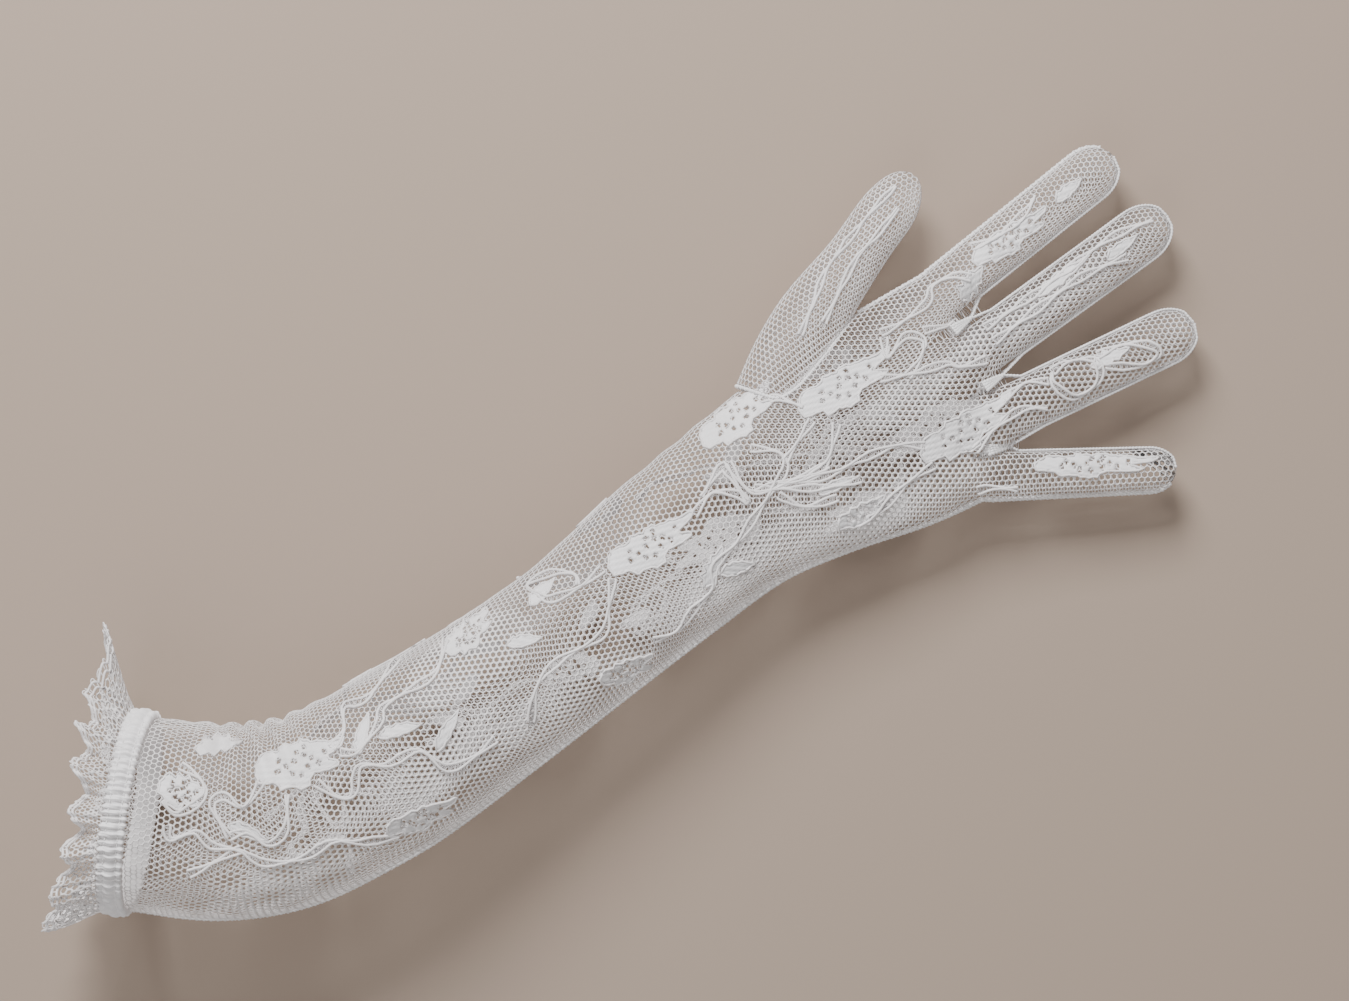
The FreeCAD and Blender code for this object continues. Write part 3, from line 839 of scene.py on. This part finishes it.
# Motifs: outline, plan x and y, scale along and across, turn in degrees.
MOTIFS = [
    ("flower", -200, 4, 0.97, 1.0, -11), ("flower", -50, -1, 1.07, 0.87, 2),
    ("flower", 3, 21, 0.98, 0.82, 10), ("flower", 43, 9, 1.18, 0.87, 2),
    ("flower", 72, -30, 1.2, 0.85, 2), ("flower", 126, 21, 1.0, 0.58, 4),
    ("leaf", 105, 15, 0.9, 1.4, 20), ("flower", 105, -67, 1.35, 0.5, -30),
    ("flower", -124, 9, 0.62, 0.62, 15), ("flower", -83, -34, 0.62, 0.5, -6),
    ("flower", -175, -37, 0.8, 0.5, -8), ("flower", -240, 19, 0.5, 0.75, -40),
    ("leaf", -222, 26, 1.0, 1.3, -30), ("flower", 22, -34, 0.6, 0.45, 0), ("leaf", -35, -20, 1.0, 1.1, 30),
    ("leaf", -28, -25, 0.8, 1.0, -20), ("leaf", -93, 7, 0.8, 1.0, 10),
    ("leaf", -175, 0, 0.9, 0.9, 40), ("leaf", -163, -6, 1.0, 0.9, -20),
    ("leaf", -149, -16, 1.0, 0.9, 25), ("leaf", 135, -2, 1.5, 0.8, 3),
    ("leaf", 133, -37, 1.0, 1.0, -10), ("leaf", 160, -5, 0.9, 0.8, 2),
    ("leaf", -228, -6, 0.9, 0.9, -60), ("leaf", 20, -20, 0.9, 0.8, -12),
    ("leaf", 155, 24, 0.8, 0.9, 5), ("leaf", -108, -4, 0.8, 0.9, -25),
]
CELL = 0.75                                 # size of a motif's stitches
EYELET = 0.95                               # radius of a hole in a flower
RIB = 2.25                                  # from one stitched rib to the next


def inside_outline(points, outline):
    """Which points lie inside a closed outline."""
    result = np.zeros(len(points), bool)
    x, y = points[:, 0], points[:, 1]
    for (ax, ay), (bx, by) in zip(outline, np.roll(outline, -1, axis=0)):
        between = (ay > y) != (by > y)
        slope = (bx - ax) / (by - ay + 1e-12)
        result ^= between & (x < ax + slope * (y - ay))
    return result


def turned(degrees):
    """A turn in plan, for rows of points."""
    c, s = math.cos(math.radians(degrees)), math.sin(math.radians(degrees))
    return np.array([(c, s), (-s, c)])


def motif(build, cords, kind, x, y, long, wide, turn, face):
    """One solidly stitched figure: ribbed rows with a few eyelets and a jagged cord edge."""
    shape = FLOWER if kind == "flower" else LEAF
    holes = FLOWER_HOLES if kind == "flower" else np.zeros((0, 2))
    spin = turned(FLOWER_TURN if kind == "flower" else 0)
    shape = shape @ spin * (long, wide)
    holes = holes @ spin * (long, wide)
    place = turned(turn)
    outline = curve_through(np.vstack([shape, shape[:1]]), 1.4)[:-1]
    count = len(outline)
    jag = 0.28 * np.where(np.arange(count) % 2, 1, -1)
    outline = outline * (1 + jag / np.maximum(np.linalg.norm(outline, axis=1), 2))[:, None]
    reach = np.abs(outline).max(0) + CELL
    xs = np.arange(-reach[0], reach[0], CELL)
    ys = np.arange(-reach[1], reach[1], CELL)
    gx, gy = np.meshgrid(xs, ys, indexing="ij")
    middle = np.stack([gx.ravel() + CELL / 2, gy.ravel() + CELL / 2], 1)
    filled = inside_outline(middle, outline)
    for hole in holes:
        filled &= ((middle - hole) ** 2).sum(1) > EYELET ** 2
    filled = filled.reshape(gx.shape)
    plan = np.stack([gx.ravel(), gy.ravel()], 1) @ place + (x, y)
    near = (filled | np.roll(filled, 1, 0) | np.roll(filled, 1, 1)
            | np.roll(np.roll(filled, 1, 0), 1, 1))
    used = np.flatnonzero(near.ravel())
    flat = np.zeros((gx.size, 2))
    flat[used] = flat_of(plan[used])
    rib = 0.34 * np.cos((gy.ravel() + 0.35 * gx.ravel()) * 2 * math.pi / RIB)
    top = panel_point(flat[:, 0], flat[:, 1], face, 0.55 + rib)
    bottom = panel_point(flat[:, 0], flat[:, 1], face, -0.1)
    index = np.arange(gx.size).reshape(gx.shape)
    size = gx.size
    faces = []
    for i, j in zip(*np.nonzero(filled[:-1, :-1])):
        a, b, c4, d = index[i, j], index[i + 1, j], index[i + 1, j + 1], index[i, j + 1]
        faces.append((a, b, c4, d))
        faces.append((d + size, c4 + size, b + size, a + size))
        for di, dj, p, q in ((0, -1, a, b), (1, 0, b, c4), (0, 1, c4, d), (-1, 0, d, a)):
            if not filled[i + di, j + dj]:
                faces.append((q, p, p + size, q + size))
    keep = np.zeros(2 * size, bool)
    for face_points in faces:
        keep[list(face_points)] = True
    number = np.cumsum(keep) - 1
    points = np.concatenate([top, bottom])[keep]
    build.add(points, [tuple(number[k] for k in f) for f in faces])
    ring = np.vstack([outline, outline[:1]]) @ place + (x, y)
    lay_cord(cords, ring, face, 0.46, 0.5)


for side_name, face in FACES.items():
    figures, edges = Build(), Build()
    for kind, x, y, long, wide, turn in MOTIFS:
        if face > 0:
            motif(figures, edges, kind, x, y, long, wide, turn, face)
        elif -200 < x < 45:
            motif(figures, edges, kind, x + PALM_SHIFT, PALM_MIRROR - y, long, wide,
                  180 - turn, face)
    figures.piece(f"{side_name}_flowers", MOTIF_THREAD, "lace")
    edges.piece(f"{side_name}_flower_edges", CORD_THREAD, "lace")

# ------------------------------------------------------------------ the thumb's stems
THUMB_VINES = [
    [(40, 34), (52, 42), (62, 49), (76, 54), (92, 59), (102, 61)],
    [(50, 33), (62, 40), (75, 47), (86, 50), (98, 54)],
]
thumb_grid_u, thumb_grid_w = np.meshgrid(np.arange(0, thumb.u[-1], 0.8),
                                         np.arange(-22, 22, 0.8), indexing="ij")
thumb_grid_u, thumb_grid_w = thumb_grid_u.ravel(), thumb_grid_w.ravel()
on_tube = np.abs(thumb_grid_w) < thumb.quarter(thumb_grid_u)
thumb_grid_u, thumb_grid_w = thumb_grid_u[on_tube], thumb_grid_w[on_tube]
thumb_plan = (thumb_point(thumb_grid_u, thumb_grid_w, 1) - SHIFT)[:, :2]
for side_name, face in FACES.items():
    stems = Build()
    for line in THUMB_VINES:
        for cord in paired(line, 0.9):
            nearest = [int(((thumb_plan - spot) ** 2).sum(1).argmin()) for spot in cord]
            flat = np.stack([thumb_grid_u[nearest], thumb_grid_w[nearest]], 1)
            kernel = np.ones(5) / 5
            flat = np.stack([np.convolve(np.pad(flat[:, k], 2, "edge"), kernel, "valid")
                             for k in (0, 1)], 1)
            places = thumb_point(flat[:, 0], flat[:, 1], face, 0.5)
            clear = sleeve.depth(places - SHIFT) > 1.03
            if clear.sum() > 4:
                stems.cord(places[clear], CORD)
    stems.piece(f"thumb_{side_name}_stem_cords", CORD_THREAD, "lace")

# ------------------------------------------------------------------ strips between fingers
STRIP_STEP = 1.9                            # net pitch along and across a strip
STRIP_HIGH = 3.5


def strip_path(upper, lower):
    """Plan line of a strip: down one finger's side, round the web and up the next."""
    path = []
    for name, side in ((upper, -1), (lower, 1)):
        finger = fingers[name]
        length = finger.length
        ahead = np.array([math.cos(finger.turn), math.sin(finger.turn)])
        out = np.array([-ahead[1], ahead[0]]) * side
        start = 31.0 if name != "little" else 27.0
        along = np.arange(start, length - 1.0, 1.0)[:, None]
        half = finger.tube.section(along[:, 0])[3][:, None]
        tip = finger.root + ahead * (length - 0.4)
        path.append(np.vstack([finger.root + ahead * along + out * half, tip]))
    first = path[0][::-1]
    web = np.array(WEBS[(upper, lower)])
    bend = curve_through([first[-1], web + (first[-1] - web) * 0.25, web,
                          web + (path[1][0] - web) * 0.25, path[1][0]], 0.8)
    return np.vstack([first[:-1], bend, path[1][1:]])


def strip_surface(path):
    """Carries flat places of a strip, length and height, to the glove."""
    run = run_along(path)
    out = left_of(path)

    def carry(u, w, lift):
        u, w = np.broadcast_arrays(np.asarray(u, float), np.asarray(w, float))
        x, y = np.interp(u, run, path[:, 0]), np.interp(u, run, path[:, 1])
        across_x, across_y = np.interp(u, run, out[:, 0]), np.interp(u, run, out[:, 1])
        bulge = 0.6 * (1 - (w / STRIP_HIGH) ** 2)
        z = CUFF[2] - AXIS_FALL * (x - CUFF[0]) + w
        place = np.stack([x + across_x * (lift + bulge - 0.7), y + across_y * (lift + bulge - 0.7),
                          z], -1)
        return place + SHIFT
    return carry, run[-1]


strips = {}
strip_edges = Build()
for upper, lower in WEBS:
    path = strip_path(upper, lower)
    carry, total = strip_surface(path)
    build = Build()
    name = f"strip_{upper}_{lower}"

    def strip_keep(u, w, total=total):
        return (u > 0.5) & (u < total - 0.5) & (np.abs(w) < STRIP_HIGH + 0.2)

    def strip_clamp(shared, total=total):
        return np.stack([np.clip(shared[:, 0], 0, total),
                         np.clip(shared[:, 1], -STRIP_HIGH, STRIP_HIGH)], 1)

    net(build, ((0, total, -STRIP_HIGH - 1, STRIP_HIGH + 1), strip_keep), carry,
                        STRIP_STEP, lambda u, w: np.full(u.shape, STRIP_OPEN), THREAD,
                        strip_clamp)
    strips[name] = (build.piece(name, NET_THREAD, "fourchette_net"), total)
    lengths = np.arange(0, total, 0.42)
    for height in (-STRIP_HIGH, STRIP_HIGH):
        line = carry(lengths, np.full(lengths.shape, height), 0.5)
        thick = 0.46 + 0.16 * np.sin(lengths * 2 * math.pi / 1.26)
        strip_edges.cord(line, thick)
# The seam allowances that bunch up where two fingers part.
for (upper, lower), web in WEBS.items():
    bisector = sum((fingers[name].root for name in (upper, lower)), np.zeros(2)) / 2
    back = (bisector - web) / np.linalg.norm(bisector - web)
    travel = np.linspace(0.6, 9.5, 26)
    high = CUFF[2] - AXIS_FALL * (web[0] - CUFF[0])
    for face in (1, -1):
        for aside in (-1.7, -0.6, 0.6, 1.7):
            line = np.zeros((len(travel), 3))
            line[:, :2] = (np.array(web) + back * travel[:, None]
                           + np.array([-back[1], back[0]]) * aside * (travel / 9.5)[:, None])
            line[:, 2] = high + face * (3.6 + 5.6 * smooth(travel, 0, 9))
            thick = 0.75 + 0.2 * np.sin(travel * 5.0 + aside)
            strip_edges.cord(line + SHIFT, thick)
strip_seams = strip_edges.piece("strip_edge_seams", SEAM_THREAD, "seam_thread")

# ------------------------------------------------------------------ overlocked seams
STITCH = 1.3                                # length of one stitch
SEAM_RADIUS = 0.72
THUMB_SEAM_RADIUS = 0.62


def seam(name, line, radius):
    """A rolled seam: a ridged core with a thread that winds over it."""
    build = Build()
    line = curve_through(line, 0.34)
    run = run_along(line)
    core = radius * (1 + 0.2 * np.sin(run * 2 * math.pi / STITCH))
    build.cord(line, core, 8)
    _, side, up = frames_along(line)
    turn = run * 2 * math.pi / (2 * STITCH)
    spiral = line + (side * np.cos(turn)[:, None] + up * np.sin(turn)[:, None]) * radius * 1.15
    build.cord(spiral, 0.2, 5)
    return build.piece(name, SEAM_THREAD, "seam_thread")


def outline_edge(name, side, start):
    """The edge of the hand from the flat length start, then of one finger, in plan."""
    lengths = np.arange(start, 96.0, 4.0)
    centre, _, across, half, _ = sleeve.section(lengths)
    edge = centre + across * (side * (half + 0.3))[:, None]
    finger = fingers[name]
    along = np.arange(10.0, finger.length - 1.5, 3.0)
    centre, _, across, half, _ = finger.tube.section(along)
    tail = centre + across * (side * (half + 0.3))[:, None]
    gap = np.linalg.norm(edge[:, None, :2] - tail[None, :, :2], axis=-1)
    i, j = np.unravel_index(gap.argmin(), gap.shape)
    return np.vstack([edge[:max(i, 1)], (edge[i] + tail[j])[None] / 2, tail[j + 1:]]) + SHIFT


side_seam = seam("side_overlock", outline_edge("little", -1, SLEEVE_START + 1.0), SEAM_RADIUS)
index_seam = seam("index_overlock", outline_edge("index", 1, 64.0), SEAM_RADIUS)


def thumb_ring():
    """Where the thumb's tube comes out of the hand, all round."""
    spots = []
    lengths = np.arange(0, 75, 0.5)
    for face, direction in ((1, 1), (-1, -1)):
        for share in np.linspace(-1, 1, 25)[:-1] * direction:
            where = share * thumb.quarter(lengths)
            places = thumb_point(lengths, where, face)
            outside = sleeve.depth(places - SHIFT) > 1.0
            if outside.any():
                spots.append(places[outside.argmax()])
    spots = np.array(spots)
    kernel = np.array([1, 2, 3, 2, 1]) / 9
    return np.stack([np.convolve(np.concatenate([spots[-2:, k], spots[:, k], spots[:2, k]]),
                                 kernel, "valid") for k in range(3)], 1)


ring = thumb_ring()
thumb_seam = seam("thumb_overlock", np.vstack([ring, ring[:1]]), THUMB_SEAM_RADIUS)

# ------------------------------------------------------------------ the gathered band
BORE = 35.0                                 # inner radius of the band
PLEATS = 84
ROUND = 1008                                # points round the band
STITCH_ROWS = (2.2, 6.8)                    # where its two rows of stitching are
FINE_THREAD = 0.24                          # radius of stitching and of the edging's bars


def around(angle):
    """Unit vectors out from the arm opening's axis: 0 is the little finger's side."""
    return (ACROSS_OPENING[None] * np.cos(angle)[:, None]
            + np.array([0, 0, 1.0])[None] * np.sin(angle)[:, None])


def closed_grid(grid):
    """Points and faces of a grid that closes both ways."""
    rows, columns = grid.shape[:2]
    faces = []
    for i in range(rows):
        for j in range(columns):
            a, b = i * columns + j, i * columns + (j + 1) % columns
            c, d = (i + 1) % rows * columns + (j + 1) % columns, (i + 1) % rows * columns + j
            faces.append((a, b, c, d))
    return grid.reshape(-1, 3), faces


def gathered_band():
    """The casing drawn up round its elastic: soft pleats along the arm, pinched by the two
    rows of stitching."""
    angle = np.arange(ROUND) * 2 * math.pi / ROUND
    drift = 0.5 * np.sin(3 * angle) + 0.4 * np.sin(7 * angle + 1) + 0.25 * np.sin(19 * angle)
    profile = [(0.0, 0.15), (0.0, 1.4), (0.6, 2.35), (1.6, 2.2), (2.2, 1.9), (3.2, 2.75),
               (4.5, 3.05), (5.8, 2.75), (6.8, 1.9), (7.4, 2.2), (8.4, 2.35), (9.0, 1.4),
               (9.0, 0.15), (4.5, 0.1)]
    profile = curve_through(profile + profile[:1], 0.45)[:-1]
    grid = np.zeros((len(profile), ROUND, 3))
    for row, (along, stand) in enumerate(profile):
        fold = np.sin(PLEATS * angle + 3.0 * drift + 0.25 * along)
        fine = np.sin(2.6 * PLEATS * angle + 5 * drift)
        depth = min(stand, 1.6) * (0.42 * fold + 0.14 * fine + 0.2 * np.sin(31 * angle + drift))
        reach = BORE + 0.15 + stand + depth
        edge = 0.35 * fold * (abs(along - 4.5) / 4.5) ** 3 * np.sign(along - 4.5)
        grid[row] = (around(angle) * reach[:, None]
                     + OUTWARD[None] * (along + edge)[:, None])
    return closed_grid(grid + CUFF + SHIFT)


points, faces = gathered_band()
band = write_mesh("gathered_elastic_band", points, faces, BAND_CLOTH)
stitches = Build()
for along in STITCH_ROWS:
    angle = np.arange(ROUND * 2) * math.pi / ROUND
    stand = 2.15 + 0.28 * np.sin(angle * 150)
    line = around(angle) * (BORE + stand)[:, None] + OUTWARD[None] * along + CUFF + SHIFT
    stitches.cord(line, FINE_THREAD, 5, closed=True)
stitches.piece("band_stitching", SEAM_THREAD, "gathered_band")

core_angle = np.arange(180) * math.pi / 90
core = np.zeros((4, 180, 3))
for row, (along, stand) in enumerate(((1.5, 0.6), (7.5, 0.6), (7.5, 1.5), (1.5, 1.5))):
    core[row] = around(core_angle) * (BORE + stand) + OUTWARD * along + CUFF + SHIFT
points, faces = closed_grid(core)
elastic = write_mesh("elastic_core", points, faces, ELASTIC_CORE, False)

# ------------------------------------------------------------------ the frill
FRILL_LONG = 12.0                           # from the band to the edging, laid flat
FRILL_ROUND = 430.0                         # its length before it was gathered
WAVES = 16
FRILL_CELLS = 205                           # cells of the net round the frill
SCALLOP = 7.2                               # length of one scallop of the edging
SCALLOP_RISE = 1.1
EDGING = 1.7                                # between the edging's two cords
LOOP = 0.95                                 # radius of the small outer loops


def frill_point(u, w, lift=0.0):
    """Places on the frill: u is the length from the band and w the length round it."""
    u, w = np.broadcast_arrays(np.asarray(u, float), np.asarray(w, float))
    angle = w / FRILL_ROUND * 2 * math.pi
    share = u / FRILL_LONG
    little = np.exp(-((np.mod(angle + math.pi, 2 * math.pi) - math.pi) / 0.55) ** 2)
    top = np.exp(-((angle - math.pi / 2) / 0.5) ** 2)
    tongue = np.exp(-((angle - math.pi) / 0.33) ** 4)
    drift = 1.1 * np.sin(3 * angle + 0.6) + 0.7 * np.sin(5 * angle)
    wave = 3.4 * smooth(share, 0.0, 1.0) * np.cos(WAVES * angle + drift)
    ripple = (0.6 + 0.7 * share) * np.sin(w * 2 * math.pi / 5.2 + 1.3 * drift)
    out = 8.2 + u * (0.92 + 0.42 * little - 0.25 * top) + 2.0 * share * np.sin(
        WAVES * angle + drift + 0.8)
    reach = (36.6 + 6.0 * share + wave + ripple * (1 - 0.4 * share) - 2.6 * share * top
             + 15.5 * tongue * share ** 1.1)
    flat = 1 - 0.105 * share
    place = (OUTWARD * (out + 0.35 * lift)[..., None] * np.ones(3)
             + ACROSS_OPENING * (reach * np.cos(angle) + lift * np.cos(angle))[..., None]
             + np.array([0, 0, 1.0]) * ((reach * flat + lift) * np.sin(angle))[..., None])
    return place + CUFF + SHIFT


def frill_open(u, w):
    """Open net with a filled leaf here and there."""
    leaf = np.sin(w * 2 * math.pi / 26.0 + 0.5 * np.sin(u)) > 0.80
    heavy = (u > 2.5) & (u < 9.0) & leaf
    return np.where(heavy, 0.25, 0.62)


def frill_keep(u, w):
    """Which flat places belong to the frill."""
    return (u > 0.1) & (u < FRILL_LONG) & (w >= 0) & (w < FRILL_ROUND - 0.1)


def frill_clamp(shared):
    """Pull knots back on to the frill's edges."""
    return np.stack([np.clip(shared[:, 0], 0, FRILL_LONG), shared[:, 1]], 1)


build = Build()
net(build, ((0, FRILL_LONG, 0, FRILL_ROUND), frill_keep), frill_point,
                           FRILL_ROUND / FRILL_CELLS, frill_open, THREAD, frill_clamp)
frill = build.piece("frill_net", NET_THREAD, "ruffle_lace")

def scallop(w):
    """How far the edging bows out at the length w round the frill."""
    return SCALLOP_RISE * np.abs(np.sin(w * math.pi / SCALLOP))


# The edging: two cords with bars between them, and small loops on the outer one.
edging = Build()
span = np.arange(0, FRILL_ROUND, 0.55)
for base, weight in ((FRILL_LONG, 0.48), (FRILL_LONG + EDGING, 0.52)):
    line = frill_point(base + scallop(span), span)
    edging.cord(line, weight, closed=True)
for middle in np.arange(0, FRILL_ROUND, 1.6):
    bar = frill_point(np.linspace(FRILL_LONG, FRILL_LONG + EDGING, 3) + scallop(middle),
                      np.full(3, middle))
    edging.cord(bar, FINE_THREAD, 5)
for middle in np.arange(1.8, FRILL_ROUND, 3.6):
    turns = np.linspace(0, math.pi, 7)
    loop = frill_point(FRILL_LONG + EDGING + scallop(middle) + LOOP * np.sin(turns),
                       middle - LOOP * np.cos(turns))
    edging.cord(loop, FINE_THREAD, 5)
frill_edging = edging.piece("frill_edging", CORD_THREAD, "ruffle_edging")

# ------------------------------------------------------------------ what stands for what
REPLACED = {
    side_seam: ["side_seam"], index_seam: ["index_seam"], thumb_seam: ["thumb_seam"],
    band: ["band_casing"], elastic: ["elastic_ring"], frill: ["ruffle"],
    frill_edging: ["ruffle_border"],
}
for side_name in FACES:
    REPLACED[thumb_pieces[f"thumb_{side_name}_net"]] = [f"thumb_{side_name}"]
    for part_name in PARTS:
        REPLACED[panel_pieces[f"{side_name}_{part_name}_net"]] = [f"{side_name}_{part_name}"]
for upper, lower in WEBS:
    REPLACED[strips[f"strip_{upper}_{lower}"][0]] = [f"fourchette_{upper}_{lower}"]
for piece, nodes in REPLACED.items():
    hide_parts(*nodes)


def flat_size(name):
    """Width and length of a part of a panel as it was cut."""
    part_name = name.split("_")[1]
    if part_name == "sleeve":
        lengths = np.arange(SLEEVE_START, LATTICE_SPLIT, 2.0)
        return 2 * sleeve.quarter(lengths).mean(), LATTICE_SPLIT - SLEEVE_START
    if part_name == "hand":
        lengths = np.arange(LATTICE_SPLIT, 90.0, 2.0)
        return 2 * sleeve.quarter(lengths).mean(), 92.0 - LATTICE_SPLIT
    length = fingers[part_name].length - finger_cut[part_name]
    lengths = np.linspace(finger_cut[part_name], fingers[part_name].length, 30)
    low, high = strip_limits(part_name, lengths)
    return (high - low).max(), length


for name, piece in panel_pieces.items():
    wide, long = flat_size(name)
for name, (piece, total) in strips.items():
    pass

# ------------------------------------------------------------------ floor, light and camera
floor_material = bpy.data.materials.new("studio_floor")
floor_material.use_nodes = True
floor_shader = floor_material.node_tree.nodes["Principled BSDF"]
floor_shader.inputs["Base Color"].default_value = (0.36, 0.28, 0.225, 1)
floor_shader.inputs["Roughness"].default_value = 0.85
floor_mesh = bpy.data.meshes.new("floor")
floor_mesh.from_pydata([(-6, -6, 0), (6, -6, 0), (6, 6, 0), (-6, 6, 0)], [], [(0, 1, 2, 3)])
floor_mesh.materials.append(floor_material)
floor = bpy.data.objects.new("floor", floor_mesh)
bpy.context.scene.collection.objects.link(floor)

world = bpy.data.worlds.new("studio")
world.use_nodes = True
world.node_tree.nodes["Background"].inputs["Color"].default_value = (1.0, 0.98, 0.96, 1)
world.node_tree.nodes["Background"].inputs["Strength"].default_value = 0.35
bpy.context.scene.world = world


def softbox(name, place, target, width, power):
    """A square lamp aimed at a point."""
    lamp = bpy.data.lights.new(name, "AREA")
    lamp.size = width
    lamp.energy = power
    item = bpy.data.objects.new(name, lamp)
    item.location = place
    item.rotation_euler = (Vector(target) - Vector(place)).to_track_quat("-Z", "Y").to_euler()
    bpy.context.scene.collection.objects.link(item)


softbox("key", (0.35, 1.0, 0.95), (0, 0, 0.03), 0.6, 34.0)
softbox("fill", (-0.9, -0.6, 1.1), (0, 0, 0.03), 1.2, 7.0)

TURN = math.radians(33.5)
right = Vector((math.cos(TURN), -math.sin(TURN), 0))
upward = Vector((math.sin(TURN), math.cos(TURN), 0))
lens = bpy.data.cameras.new("camera")
lens.sensor_width = 36.0
lens.lens = 85.0
camera = bpy.data.objects.new("camera", lens)
HEIGHT = 1.225
axes = Matrix((right, upward, Vector((0, 0, 1)))).transposed().to_4x4()
camera.matrix_world = Matrix.Translation(Vector((0.0298, 0.0125, HEIGHT))) @ axes
bpy.context.scene.collection.objects.link(camera)
bpy.context.scene.camera = camera
